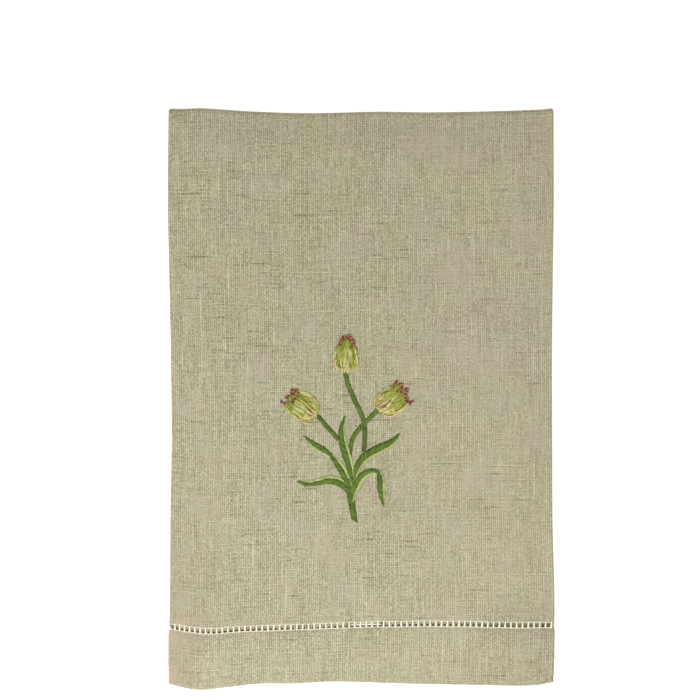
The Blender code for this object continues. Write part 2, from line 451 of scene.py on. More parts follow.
class Wire:
    """A number in a shader, with arithmetic that adds Math nodes."""

    def __init__(self, bench: "Bench", socket: bpy.types.NodeSocket) -> None:
        """Wrap a node's output socket."""
        self.bench = bench
        self.socket = socket

    def worked(self, operation: str, *others: Any) -> "Wire":
        """Result of a Math node on this number and others."""
        sockets = dict(enumerate((self, *others)))
        return self.bench.add("ShaderNodeMath", {"operation": operation}, sockets)

    def __add__(self, other: Any) -> "Wire":
        """Sum."""
        return self.worked("ADD", other)

    __radd__ = __add__

    def __mul__(self, other: Any) -> "Wire":
        """Product."""
        return self.worked("MULTIPLY", other)

    __rmul__ = __mul__

    def __sub__(self, other: Any) -> "Wire":
        """Difference."""
        return self.worked("SUBTRACT", other)

    def __rsub__(self, other: float) -> "Wire":
        """Difference from a plain number."""
        return self.worked("MULTIPLY_ADD", -1.0, other)

    def __truediv__(self, other: Any) -> "Wire":
        """Quotient."""
        return self.worked("DIVIDE", other)

    def clamped(self, low: float, high: float) -> "Wire":
        """Where this number lies between low and high, eased from 0 to 1."""
        sockets = {"Value": self, "From Min": low, "From Max": high}
        settings = {"interpolation_type": "SMOOTHSTEP"}
        return self.bench.add("ShaderNodeMapRange", settings, sockets)


class Bench:
    """A material's node tree and the one way in which nodes are added to it."""

    def __init__(self, name: str) -> None:
        """Start a material with only its Principled shader and output."""
        self.material = bpy.data.materials.new(name)
        self.material.use_nodes = True
        self.tree = self.material.node_tree
        self.shader = self.tree.nodes["Principled BSDF"]

    def add(self, kind: str, settings: dict[str, Any], sockets: dict[Any, Any], out: Any = 0) -> Wire:
        """Add a node.

        Args:
            kind: The node's type.
            settings: Its own settings, set first.
            sockets: Values or wires for its inputs, by name or number.
            out: The output to return.

        Returns:
            The chosen output.
        """
        node = self.tree.nodes.new(kind)
        for key, value in settings.items():
            setattr(node, key, value)
        for key, value in sockets.items():
            self.join(node.inputs[key], value)
        return Wire(self, node.outputs[out])

    def join(self, socket: bpy.types.NodeSocket, value: Any) -> None:
        """Set an input to a value, or link a wire to it."""
        if isinstance(value, Wire):
            self.tree.links.new(value.socket, socket)
        else:
            socket.default_value = value

    def split(self, vector: Wire) -> list[Wire]:
        """The three numbers of a vector."""
        node = self.tree.nodes.new("ShaderNodeSeparateXYZ")
        self.join(node.inputs[0], vector)
        return [Wire(self, output) for output in node.outputs]

    def blend(self, share: Any, first: Any, second: Any) -> Wire:
        """Mix two colours by a share."""
        settings = {"data_type": "RGBA", "clamp_factor": True}
        return self.add("ShaderNodeMix", settings, {0: share, 6: first, 7: second}, out=2)

    def noise(self, place: Wire, scale: float, detail: float = 2.0, rough: float = 0.5) -> Wire:
        """Soft noise, about 0.5, at a place."""
        sockets = {"Vector": place, "Scale": scale, "Detail": detail, "Roughness": rough}
        return self.add("ShaderNodeTexNoise", {"noise_dimensions": "3D"}, sockets)

    def place(self, x: Any, y: Any, z: Any = 0.0) -> Wire:
        """A vector of three numbers."""
        return self.add("ShaderNodeCombineXYZ", {}, {0: x, 1: y, 2: z})

    def tone(self, x: Any, y: Any, apart: float = 0.0, detail: float = 1.0, rough: float = 0.5) -> Wire:
        """Soft noise over two numbers; the third only sets one noise apart from another."""
        return self.noise(self.place(x, y, apart), 1.0, detail, rough)

    def finish(
        self, colour: Wire, height: Wire, depth: float, rough: float, sheen: float
    ) -> bpy.types.Material:
        """Link the finished pattern to the shader.

        Args:
            colour: The surface's colour.
            height: Relief, from 0 to about 1.
            depth: What a relief of 1 stands for, in metres.
            rough: Roughness.
            sheen: Weight of the fibres' sheen.

        Returns:
            The material.
        """
        bump = self.add("ShaderNodeBump", {}, {"Strength": 1.0, "Distance": depth, "Height": height})
        looks = {"Base Color": colour, "Normal": bump, "Roughness": rough, "Sheen Weight": sheen}
        for name, value in looks.items():
            self.join(self.shader.inputs[name], value)
        self.shader.inputs["Sheen Roughness"].default_value = SHEEN_ROUGHNESS
        return self.material


Colour = tuple[float, float, float, float]


class Weave(NamedTuple):
    """The yarns at each flat place: which they are, how round they stand there, and which lies on top."""

    warp_count: Wire
    weft_count: Wire
    warp_round: Wire
    weft_round: Wire
    warp_turn: Wire
    weft_turn: Wire
    height: Wire
    warp_on_top: Wire


@dataclass(frozen=True)
class LinenFinish:
    """Undyed plain-weave linen with slubs, in the cloth's own flat places.

    Wander and jitter are how far the yarns stray sideways, in yarns, over long and over short stretches.
    """

    warp_pitch: float = 0.00098
    weft_pitch: float = 0.00088
    warp_wander: float = 1.6
    weft_wander: float = 2.0
    jitter: float = 0.9
    warp_stand: float = 0.72
    weft_stand: float = 0.66
    turn_depth: float = 0.28
    dark: Colour = (0.128, 0.117, 0.062, 1.0)
    light: Colour = (0.546, 0.525, 0.362, 1.0)
    rose: Colour = (0.424, 0.342, 0.258, 1.0)
    grey: Colour = (0.345, 0.366, 0.276, 1.0)
    painted_warm_glow: Colour = (0.035, 0.023, 0.006, 1.0)
    middle_share: float = 0.50
    relief: float = 0.00020
    rough: float = 0.92
    sheen: float = 0.06

    def build(self) -> bpy.types.Material:
        """Make the material."""
        bench = Bench("linen")
        flat = bench.add("ShaderNodeUVMap", {"uv_map": "flat"}, {})
        u, v = bench.split(flat)[:2]
        weave = self.weave(bench, u, v)
        warp_count, weft_count = weave.warp_count, weave.weft_count

        # Each yarn is lighter or darker along its length, and so are the long runs of warp and of weft
        warp_tone = bench.tone(warp_count * 3.7, v * 60.0, 1.0, 3.0, 0.55)
        weft_tone = bench.tone(u * 60.0, weft_count * 3.7, 9.0, 3.0, 0.55)
        yarn_tone = weft_tone + (warp_tone - weft_tone) * weave.warp_on_top
        long_tone = bench.tone(warp_count * 7.3, v * 7.0, 41.0)
        wide_tone = bench.tone(u * 8.0, weft_count * 7.3, 47.0)

        # Each crossing has its own tone, and here and there every other crossing or yarn stands out
        crossing = bench.add("ShaderNodeTexWhiteNoise", {}, {"Vector": bench.place(warp_count, weft_count)})
        turning = bench.tone(warp_count * 0.45, weft_count * 0.45, 51.0, 2.0) - 0.42
        warp_pair = weave.warp_turn * (bench.tone(u * 90.0, v * 30.0, 61.0, 2.0) - 0.42)
        weft_pair = weave.weft_turn * (bench.tone(u * 30.0, v * 90.0, 67.0, 2.0) - 0.42)

        # Slubs are thick dark stretches of weft, and streaks are pale stretches of warp
        slub = bench.tone(u * 55.0, weft_count * 5.3, 21.0).clamped(0.61, 0.75) * weave.weft_round
        streak = bench.tone(warp_count * 5.3, v * 34.0, 33.0).clamped(0.66, 0.76)
        fibre = bench.noise(flat, 3000.0, 2.0, 0.7)
        grain = bench.noise(flat, 1150.0, 2.0, 0.6)
        mottle = bench.noise(flat, 75.0, 3.0, 0.55)

        # Painted shade: the cloth is darker, and rosier, where the hem rolls away at the left, and darker
        # where the right end of the hem lies in a little shade
        rolled_shade = (1.0 - u.clamped(-0.090, -0.066)) * (1.0 - v.clamped(0.03, 0.11))
        right_hem_shade = u.clamped(0.045, 0.075) * (1.0 - v.clamped(0.028, 0.050))

        # Each part of the pattern, what it is on average, and how much it lightens the cloth
        parts = (
            (yarn_tone, 0.5, 0.60),
            (warp_tone, 0.5, 0.30),
            (long_tone, 0.5, 0.10),
            (wide_tone, 0.5, 0.10),
            (crossing, 0.5, 0.26),
            # Painted shade: the weave's height and the yarns' roundness lighten their crowns and darken the
            # gaps between them
            (weave.height, 0.62, 0.54),
            (weave.warp_round, 0.64, 0.20),
            (weave.warp_turn * weave.weft_turn * turning, 0.0, 0.42),
            (warp_pair + weft_pair, 0.0, 0.20),
            (slub, 0.0, -0.30),
            (streak, 0.0, 0.20),
            (fibre, 0.5, 0.26),
            (grain, 0.5, 0.94),
            (mottle, 0.5, 0.06),
            (rolled_shade, 0.0, -0.15),
            (right_hem_shade, 0.0, -0.08),
        )
        share = self.middle_share - sum(average * weight for _, average, weight in parts)
        for part, _, weight in parts:
            share = share + part * weight
        colour = self.tinted(bench, u, v, share, rolled_shade)
        height = weave.height * (0.55 + yarn_tone * 0.9) + slub * 0.4 + fibre * 0.2

        # Painted warm bounce light: the cloth glows a little of its own, also where it lies in shadow, so
        # that its shadows stay warm brown
        bench.shader.inputs["Emission Color"].default_value = self.painted_warm_glow
        bench.shader.inputs["Emission Strength"].default_value = 1.0
        return bench.finish(colour, height, self.relief, self.rough, self.sheen)

    def weave(self, bench: Bench, u: Wire, v: Wire) -> Weave:
        """Lay the yarns, which stray a little sideways and take turns to lie on top."""
        warp = u / self.warp_pitch + (bench.tone(u * 40.0, v * 26.0, 0.0, 3.0) - 0.5) * self.warp_wander
        weft = v / self.weft_pitch + (bench.tone(v * 44.0, u * 24.0, 3.0, 3.0) - 0.5) * self.weft_wander
        warp = warp + (bench.tone(u * 430.0, v * 14.0, 5.0) - 0.5) * self.jitter
        weft = weft + (bench.tone(v * 430.0, u * 14.0, 8.0) - 0.5) * self.jitter
        warp_count, weft_count = warp.worked("FLOOR"), weft.worked("FLOOR")
        warp_round = ((warp - warp_count) * math.pi).worked("SINE")
        weft_round = ((weft - weft_count) * math.pi).worked("SINE")
        warp_turn = (warp_count * math.pi).worked("COSINE")
        weft_turn = (weft_count * math.pi).worked("COSINE")
        turn = warp_turn * weft_turn * self.turn_depth
        warp_height = warp_round * (self.warp_stand + turn * weft_round)
        weft_height = weft_round * (self.weft_stand - turn * warp_round)
        height = warp_height.worked("SMOOTH_MAX", weft_height, 0.12)
        on_top = (warp_height - weft_height).clamped(-0.10, 0.10)
        return Weave(warp_count, weft_count, warp_round, weft_round, warp_turn, weft_turn, height, on_top)

    def tinted(self, bench: Bench, u: Wire, v: Wire, share: Wire, rolled_shade: Wire) -> Wire:
        """Colour the cloth from dark to light by share, with a tint that wanders to rose and to grey.

        It is rosier to the right, and where the left hem rolls away, as part of the painted shade there.

        Args:
            bench: The material in work.
            u: Flat place across the cloth.
            v: Flat place along the cloth.
            share: Lightness, from 0 to 1.
            rolled_shade: Painted shade where the cloth rolls away at the left hem, from 0 to 1.

        Returns:
            The colour.
        """
        rosy = bench.noise(bench.place(u, v, 7.0), 48.0, 3.0, 0.6).clamped(0.50, 0.72) * 0.38
        greyish = bench.noise(bench.place(u, v, 17.0), 55.0, 3.0, 0.6).clamped(0.50, 0.72) * 0.34
        right_share = u.clamped(0.0, 0.05) * 0.14
        colour = bench.blend(share, self.dark, self.light)
        colour = bench.blend(rosy + right_share + rolled_shade * 0.42, colour, self.rose)
        return bench.blend(greyish, colour, self.grey)


@dataclass(frozen=True)
class ThreadFinish:
    """A lustrous, loosely twisted stitching thread; the thread attribute holds along, around and tone."""

    name: str
    colour: Colour
    shade: float = 0.42
    glow: float = 1.40
    rough: float = 0.55
    sheen: float = 0.0
    gloss: float = 0.20
    twist: float = 0.0009
    depth: float = 0.00006
    tone_share: float = 0.74
    fibre_share: float = 0.16
    ply_shade_share: float = 0.10

    def build(self) -> bpy.types.Material:
        """Make the material."""
        bench = Bench(self.name)
        thread = bench.add("ShaderNodeAttribute", {"attribute_name": "thread"}, {}, out="Vector")
        along, around, tone = bench.split(thread)
        ply = ((along / self.twist + around * 2.0) * math.tau).worked("SINE") * 0.5 + 0.5
        spot = bench.add("ShaderNodeTexCoord", {}, {}, out="Object")
        fibre = bench.noise(spot, 4200.0, 2.0, 0.6)
        dark = tuple(c * self.shade for c in self.colour[:3]) + (1.0,)
        light = tuple(min(c * self.glow, 1.0) for c in self.colour[:3]) + (1.0,)
        # Painted shade: the twist's ridges are lighter and its grooves darker
        share = tone * self.tone_share + fibre * self.fibre_share + ply * self.ply_shade_share
        colour = bench.blend(share, dark, light)
        bench.shader.inputs["Specular IOR Level"].default_value = self.gloss
        return bench.finish(colour, ply * 0.6 + fibre * 0.4, self.depth, self.rough, self.sheen)


class Thread(Enum):
    """The threads in use, each with its finish."""

    CREAM = ThreadFinish("cream_thread", (0.97, 0.93, 0.76, 1.0), shade=0.82, glow=1.04, rough=0.6)
    LEAF = ThreadFinish("leaf_thread", (0.105, 0.162, 0.023, 1.0), shade=0.42, glow=1.45)
    LEAF_PALE = ThreadFinish("pale_leaf_thread", (0.370, 0.440, 0.170, 1.0), shade=0.60, glow=1.30)
    BUD = ThreadFinish("bud_thread", (0.380, 0.375, 0.072, 1.0), shade=0.60, glow=1.30)
    BUD_DEEP = ThreadFinish("deep_bud_thread", (0.235, 0.250, 0.030, 1.0), shade=0.55, glow=1.30)
    BUD_GREEN = ThreadFinish("green_bud_thread", (0.225, 0.295, 0.062, 1.0), shade=0.60, glow=1.30)
    BUD_LIGHT = ThreadFinish("light_bud_thread", (0.640, 0.640, 0.285, 1.0), shade=0.66, glow=1.25)
    ROSE = ThreadFinish("rose_thread", (0.660, 0.440, 0.290, 1.0), shade=0.60, glow=1.30)
    TIP = ThreadFinish("tip_thread", (0.165, 0.030, 0.024, 1.0), shade=0.55, glow=1.50)
    TIP_PALE = ThreadFinish("pale_tip_thread", (0.430, 0.185, 0.120, 1.0), shade=0.70, glow=1.30)
    VEIN = ThreadFinish("vein_thread", (0.200, 0.080, 0.032, 1.0))


def alone() -> None:
    """Leave edit mode and select nothing, so that the next piece is shaped by itself."""
    if bpy.context.mode != "OBJECT":
        bpy.ops.object.mode_set(mode="OBJECT")
    bpy.ops.object.select_all(action="DESELECT")


class Pattern(NamedTuple):
    """A small shape that is modelled once and laid many times: its points and faces."""

    points: np.ndarray
    faces: list[tuple[int, ...]]


def as_pattern(piece: bpy.types.Object) -> Pattern:
    """Read a modelled piece as a pattern, and remove the piece."""
    points = np.array([tuple(p.co) for p in piece.data.vertices])
    faces = [tuple(f.vertices) for f in piece.data.polygons]
    bpy.data.objects.remove(piece, do_unlink=True)
    return Pattern(points, faces)


def slim_bar(stations: int, sides: int = 6) -> Pattern:
    """A straight thread of radius 1 along +X, with a ring of points at each whole number."""
    alone()
    bpy.ops.mesh.primitive_circle_add(
        vertices=sides, radius=1.0, fill_type="NGON", rotation=(0, math.pi / 2, 0)
    )
    bpy.ops.object.transform_apply(location=False, rotation=True, scale=False)
    bpy.ops.object.mode_set(mode="EDIT")
    bpy.ops.mesh.select_all(action="SELECT")
    for _ in range(stations - 1):
        bpy.ops.mesh.extrude_region_move(TRANSFORM_OT_translate={"value": (1.0, 0.0, 0.0)})
    bpy.ops.mesh.select_all(action="SELECT")
    bpy.ops.mesh.normals_make_consistent(inside=False)
    bpy.ops.object.mode_set(mode="OBJECT")
    return as_pattern(bpy.context.object)


def wound_thread(
    turns: int, length: float, half_width: float, half_height: float, radius: float, stations: int = 7
) -> Pattern:
    """A thread wound round a flat bundle that lies along Y, made as a turned circle and pressed flat.

    Args:
        turns: How many times the thread goes round.
        length: Length of the wound bundle.
        half_width: Half the bundle's width, at the thread's middle.
        half_height: Half its height, at the thread's middle.
        radius: The thread's own radius.
        stations: Rings of points in a turn.

    Returns:
        The wound thread, with its middle at the origin.
    """
    alone()
    place = {"location": (half_width, 0, 0), "rotation": (math.pi / 2, 0, 0)}
    bpy.ops.mesh.primitive_circle_add(vertices=5, radius=radius, fill_type="NGON", **place)
    piece = bpy.context.object
    bpy.ops.object.transform_apply(location=True, rotation=True, scale=False)
    winding = piece.modifiers.new("winding", "SCREW")
    winding.axis = "Z"
    winding.angle = math.tau
    winding.iterations = turns
    winding.screw_offset = length / turns
    winding.steps = winding.render_steps = stations
    winding.use_merge_vertices = False
    bpy.ops.object.modifier_apply(modifier=winding.name)
    bpy.ops.object.mode_set(mode="EDIT")
    bpy.ops.mesh.select_all(action="SELECT")
    bpy.ops.mesh.remove_doubles(threshold=radius * 0.01)
    bpy.ops.mesh.normals_make_consistent(inside=False)
    bpy.ops.object.mode_set(mode="OBJECT")
    wound = as_pattern(piece)
    x, y, z = wound.points.T
    laid = np.stack([x, z - length / 2, y * half_height / half_width], axis=1)
    return Pattern(laid, [face[::-1] for face in wound.faces])


class ThreadWork:
    """Threads of one kind, gathered into one piece; the straight bars that they bend are modelled once."""

    bars: dict[int, Pattern] = {}

    def __init__(self, name: str, thread: Thread) -> None:
        """Start a piece with nothing sewn."""
        self.name = name
        self.thread = thread
        self.points: list[np.ndarray] = []
        self.facts: list[np.ndarray] = []
        self.faces: list[tuple[int, ...]] = []
        self.count = 0

    def take(self, points: np.ndarray, faces: list[tuple[int, ...]], facts: np.ndarray) -> None:
        """Add one laid thread: its points, its faces, and along, around and tone for each point."""
        self.points.append(points)
        self.facts.append(facts)
        self.faces += [tuple(i + self.count for i in face) for face in faces]
        self.count += len(points)

    def stitch(self, path: np.ndarray, radius: Any, tone: Any, up: Any = (0.0, 0.0, 1.0)) -> None:
        """Lay one thread along a path.

        Args:
            path: The thread's middle, one point a station.
            radius: Its radius, one for all or one a station.
            tone: Its lightness, from 0 to 1, one for all or one a station.
            up: The direction away from the cloth, one for all or one a station.
        """
        stations = len(path)
        if stations not in self.bars:
            self.bars[stations] = slim_bar(stations)
        bar = self.bars[stations]
        tangent = unit(np.gradient(path, axis=0))
        side = unit(np.cross(tangent, np.broadcast_to(up, path.shape)))
        upward = np.cross(side, tangent)
        station = np.rint(bar.points[:, 0]).astype(int)
        wide = np.broadcast_to(radius, stations)[station][:, None]
        across, above = bar.points[:, 1:2], bar.points[:, 2:3]
        points = path[station] + wide * (across * side[station] + above * upward[station])
        gone = np.concatenate([[0.0], np.cumsum(np.linalg.norm(np.diff(path, axis=0), axis=1))])
        around = (np.arctan2(above, across)[:, 0] / math.tau + 0.25) % 1.0
        facts = np.stack([gone[station], around, np.broadcast_to(tone, stations)[station]], axis=1)
        self.take(points, bar.faces, facts)

    def piece(self) -> bpy.types.Object:
        """Make the piece and give it its thread's finish."""
        alone()
        mesh = bpy.data.meshes.new(self.name)
        mesh.from_pydata(np.concatenate(self.points), [], self.faces)
        facts = mesh.attributes.new("thread", "FLOAT_VECTOR", "POINT")
        facts.data.foreach_set("vector", np.concatenate(self.facts).ravel())
        mesh.shade_smooth()
        made = bpy.data.objects.new(self.name, mesh)
        bpy.context.scene.collection.objects.link(made)
        mesh.materials.append(self.thread.value.build())
        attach(made, BODY)
        LOG.info("%s: %d threads, %d faces", self.name, len(self.points), len(self.faces))
        return made


@dataclass
class TowelCloth:
    """The towel's cloth: one flat grid with the ladders' holes in it, folded and given its thickness.

    The grid's lines stand close where the cloth rounds off or turns: at its edges and beside the ladders, by
    distance from the edge or from the holes, and in the folds.
    """

    plan: FoldPlan
    holes: HolePlan
    hem_spacing: float = 0.0035
    panel_spacing: float = 0.0050
    side_turn_lines: int = 9
    top_turn_lines: int = 13
    side_edge_mm: tuple[float, ...] = (0.0, 0.06, 0.2, 0.45)
    hem_edge_mm: tuple[float, ...] = (0.0, 0.05, 0.18, 0.36, 0.6)
    beside_holes_mm: tuple[float, ...] = (1.0, 0.35)
    hem_clear: tuple[float, float] = (0.0020, 0.0025)
    panel_clear: tuple[float, float] = (0.0040, 0.0020)
    smooth_degrees: float = 50.0

    def across(self) -> np.ndarray:
        """Flat places of the grid's lines from side to side."""
        plan = self.plan
        start, stop = plan.front_ends
        turn = np.linspace(0, plan.side_turn, self.side_turn_lines)
        round_edge = np.array(self.side_edge_mm) * MM - plan.width / 2
        hem_side = plan.width / 2 - plan.selvedge_width
        extra = np.concatenate([start - turn, stop + turn, round_edge, -round_edge, [-hem_side, hem_side]])
        return self.together(self.holes.edges(plan).ravel(), extra)

    def along(self) -> np.ndarray:
        """Flat places of the grid's lines from end to end."""
        plan = self.plan
        half_hole = plan.hole_height / 2
        firm = np.array([plan.hem_depth - half_hole, plan.hem_depth + half_hole])
        beside = np.array(self.beside_holes_mm) * MM
        round_edge = np.array(self.hem_edge_mm) * MM
        hem = np.arange(self.hem_clear[0], plan.hem_depth - self.hem_clear[1], self.hem_spacing)
        panel_ends = plan.hem_depth + self.panel_clear[0], plan.turn_start - self.panel_clear[1]
        panel = np.arange(*panel_ends, self.panel_spacing)
        extra = np.concatenate([round_edge, hem, firm[0] - beside, firm[1] + beside[::-1], panel])
        turn = plan.turn_start + np.linspace(0, plan.top_turn, self.top_turn_lines)
        firm = np.concatenate([firm, plan.length - firm])
        return self.together(firm, np.concatenate([extra, plan.length - extra, turn]))

    @staticmethod
    def together(firm: np.ndarray, extra: np.ndarray, gap: float = 0.04 * MM) -> np.ndarray:
        """All the places in order, without an extra one that lies too near another."""
        kept = list(firm)
        for place in extra:
            if np.min(np.abs(np.array(kept) - place)) > gap:
                kept.append(place)
        return np.sort(np.array(kept))

    def build(self) -> bpy.types.Object:
        """Model the cloth and dress it."""
        across, along = self.across(), self.along()
        columns, rows = len(across) - 1, len(along) - 1
        alone()
        bpy.ops.mesh.primitive_grid_add(x_subdivisions=columns, y_subdivisions=rows, size=1.0)
        cloth = bpy.context.object
        cloth.name = cloth.data.name = "folded_cloth"
        mesh = cloth.data
        grid = np.empty(len(mesh.vertices) * 3)
        mesh.vertices.foreach_get("co", grid)
        place = grid.reshape(-1, 3) + 0.5
        u = across[np.rint(place[:, 0] * columns).astype(int)]
        v = along[np.rint(place[:, 1] * rows).astype(int)]
        mesh.vertices.foreach_set("co", self.plan.fold(u, v).ravel())

        self.keep_flat_places(mesh, u, v)
        self.open_holes(mesh, u, v)
        self.thicken(cloth, u, v)
        bpy.ops.object.shade_smooth_by_angle(angle=math.radians(self.smooth_degrees))
        mesh.materials.clear()
        mesh.materials.append(LinenFinish().build())
        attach(cloth, BODY)
        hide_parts(CLOTH_NODE)
        LOG.info("folded_cloth: %d faces", len(mesh.polygons))
        return cloth

    @staticmethod
    def keep_flat_places(mesh: bpy.types.Mesh, u: np.ndarray, v: np.ndarray) -> None:
        """Write the flat places to the UV map, which the linen's pattern follows."""
        flat = mesh.uv_layers[0]
        flat.name = "flat"
        corner = np.empty(len(mesh.loops), int)
        mesh.loops.foreach_get("vertex_index", corner)
        flat.data.foreach_set("uv", np.stack([u[corner], v[corner]], axis=1).ravel())

    def thicken(self, cloth: bpy.types.Object, u: np.ndarray, v: np.ndarray) -> None:
        """Give the folded surface its thickness, as a share of the hem's at each point."""
        thick = cloth.vertex_groups.new(name="thickness")
        weights = np.round(self.plan.thickness(u, v) / self.plan.hem, 2)
        for weight in np.unique(weights):
            thick.add(np.flatnonzero(weights == weight).tolist(), float(weight), "REPLACE")
        shell = cloth.modifiers.new("thickness", "SOLIDIFY")
        shell.thickness = self.plan.hem
        shell.offset = 0.0
        shell.use_even_offset = True
        shell.vertex_group = thick.name
        bpy.ops.object.modifier_apply(modifier=shell.name)

    def open_holes(self, mesh: bpy.types.Mesh, u: np.ndarray, v: np.ndarray) -> None:
        """Cut the ladders' holes out of the grid."""
        plan = self.plan
        edges = self.holes.edges(plan)
        corners = np.array([tuple(f.vertices) for f in mesh.polygons])
        middle_u, middle_v = u[corners].mean(axis=1), v[corners].mean(axis=1)
        hole = np.clip(np.searchsorted(edges[:, 0], middle_u) - 1, 0, len(edges) - 1)
        in_hole = (middle_u > edges[hole, 0]) & (middle_u < edges[hole, 1])
        in_hole = in_hole & ~self.holes.pulled_shut(plan)[hole]
        in_band = np.abs(plan.own_end(middle_v) - plan.hem_depth) < plan.hole_height / 2
        bpy.ops.object.mode_set(mode="EDIT")
        bpy.ops.mesh.select_mode(type="FACE")
        bpy.ops.mesh.select_all(action="DESELECT")
        bpy.ops.object.mode_set(mode="OBJECT")
        mesh.polygons.foreach_set("select", in_hole & in_band)
        bpy.ops.object.mode_set(mode="EDIT")
        bpy.ops.mesh.delete(type="FACE")
        bpy.ops.object.mode_set(mode="OBJECT")


class Scallop(NamedTuple):
    """A border thread along one edge of the holes: how deep it dips at the bars and bulges between them."""

    dip_mm: float
    bulge_mm: float
    radius: float


# On the panel's side of the ladder beneath, where a thick thread shows through the holes of the face
UNDER_SCALLOP = Scallop(dip_mm=0.0, bulge_mm=-0.20, radius=0.00030)


class Ladder(NamedTuple):
    """One ladder of the flat cloth: the places of its bars and of its line, and which way its hem lies."""

    bars: np.ndarray
    v: float
    to_hem: float


@dataclass
class LadderStitching:
    """Cream thread on one ladder: wound bars, short prongs, and scalloped threads beside the holes."""

    plan: FoldPlan
    holes: HolePlan
    name: str
    shows: bool
    hem_scallop: Scallop = Scallop(0.50, 0.16, 0.00015)
    panel_scallop: Scallop = Scallop(0.30, 0.06, 0.00011)
    hem_prongs: tuple[float, ...] = (-0.5, 0.3)
    panel_prongs: tuple[float, ...] = (-0.1,)
    prong_mm: float = 0.60
    prong_radius: float = 0.00016
    thread_radius: float = 0.00017
    bar_half_height: float = 0.00028
    bar_share: float = 0.40
    overlap: float = 1.06
    turns: int = 8
    flare: float = 0.26
    lean_mm: float = 0.12
    right_lean_mm: float = 0.26
    right_lean_at: float = 0.06

    def build(self) -> bpy.types.Object:
        """Sew the ladder."""
        rng = np.random.default_rng(SEED)
        work = ThreadWork(self.name, Thread.CREAM)
        line = self.plan.hem_depth if self.shows else self.plan.length - self.plan.hem_depth
        to_hem = -1.0 if self.shows else 1.0
        ladder = Ladder(self.holes.bars(self.plan), line, to_hem)
        self.wind_bars(work, ladder, rng)
        self.prongs(work, ladder, to_hem, self.hem_prongs, rng)
        self.prongs(work, ladder, -to_hem, self.panel_prongs, rng)
        self.border(work, ladder, to_hem, self.hem_scallop, rng)
        self.border(work, ladder, -to_hem, self.panel_scallop, rng)
        return work.piece()

    def wind_bars(self, work: ThreadWork, ladder: Ladder, rng: np.random.Generator) -> None:
        """Wind the thread round each bar, a little wider towards the hem."""
        tall = self.plan.hole_height
        half = self.holes.bar * self.bar_share
        bundle = (tall * self.overlap, half, self.bar_half_height)
        wound = wound_thread(self.turns, *bundle, self.thread_radius)
        x, y, z = wound.points.T
        bars = ladder.bars[:, None]
        lean = rng.uniform(-self.lean_mm, self.lean_mm, bars.shape)
        lean = (lean - self.right_lean_mm * eased(bars / self.right_lean_at)) * ladder.to_hem * MM
        wide = 1 + self.flare * ladder.to_hem * y / (tall / 2)
        points = self.plan.on_cloth(bars + x * wide + lean * y / tall, ladder.v + y, z)
        for laid, tone in zip(points, rng.uniform(0.85, 1.1, len(bars))):
            facts = np.stack([y, x / MM, np.full(len(x), tone)], axis=1)
            work.take(laid, wound.faces, facts)

    def surface(self, ladder: Ladder, towards: float) -> float:
        """Height of the cloth's right side over its middle, on one side of the ladder."""
        return (self.plan.hem if towards == ladder.to_hem else self.plan.cloth) / 2

    def prongs(
        self,
        work: ThreadWork,
        ladder: Ladder,
        towards: float,
        angles: Sequence[float],
        rng: np.random.Generator,
    ) -> None:
        """Lay short stitches that run from the ends of the bars into the cloth, one for each angle."""
        steps = np.linspace(0.0, 1.0, 5)
        shape = (len(ladder.bars), len(angles), 1)
        angle = np.array(angles)[:, None] + rng.uniform(-0.25, 0.25, shape)
        run = steps * self.prong_mm * MM * rng.uniform(0.7, 1.2, shape)
        u = ladder.bars[:, None, None] + np.sin(angle) * run
        v = ladder.v + towards * (self.plan.hole_height * 0.44 + np.cos(angle) * run)
        rise = self.surface(ladder, towards) - 0.10 * MM
        lift = 0.22 * MM + rise * eased(steps * 1.6) - 0.36 * MM * steps**3
        paths = self.plan.on_cloth(u, v, np.broadcast_to(lift, u.shape))
        away = self.plan.outward(ladder.bars, np.full(len(ladder.bars), ladder.v))
        tones = rng.uniform(0.3, 0.95, shape[:2])
        for path_group, direction, tone_group in zip(paths, away, tones):
            for path, tone in zip(path_group, tone_group):
                work.stitch(path, self.prong_radius, float(tone), direction)

    def border(
        self,
        work: ThreadWork,
        ladder: Ladder,
        towards: float,
        scallop: Scallop,
        rng: np.random.Generator,
    ) -> None:
        """Lay the scalloped thread along one edge of the holes, from bar to bar.

        Where the ladder shows, it rises over the cloth between the bars.
        """
        steps = np.linspace(0.0, 1.0, 9)
        arch = np.sin(steps * math.pi) ** 0.7
        left, right = ladder.bars[:-1, None], ladder.bars[1:, None]
        swing = rng.uniform(0.6, 1.4, left.shape)
        edge = scallop.bulge_mm * swing * arch - scallop.dip_mm * (1 - arch)
        v = ladder.v + towards * (self.plan.hole_height / 2 + MM * edge)
        u = left + (right - left) * steps
        low = 0.20 * MM
        lift = (low + (self.surface(ladder, towards) * 0.85 - low) * arch) * float(self.shows)
        paths = self.plan.on_cloth(u, v, np.broadcast_to(lift, u.shape))
        middle = (ladder.bars[:-1] + ladder.bars[1:]) / 2
        away = self.plan.outward(middle, np.full(len(middle), ladder.v))
        tones = rng.uniform(0.5, 1.0, len(paths))
        for path, direction, tone, shut in zip(paths, away, tones, self.holes.pulled_shut(self.plan)):
            if not shut:
                work.stitch(path, scallop.radius, float(tone), direction)


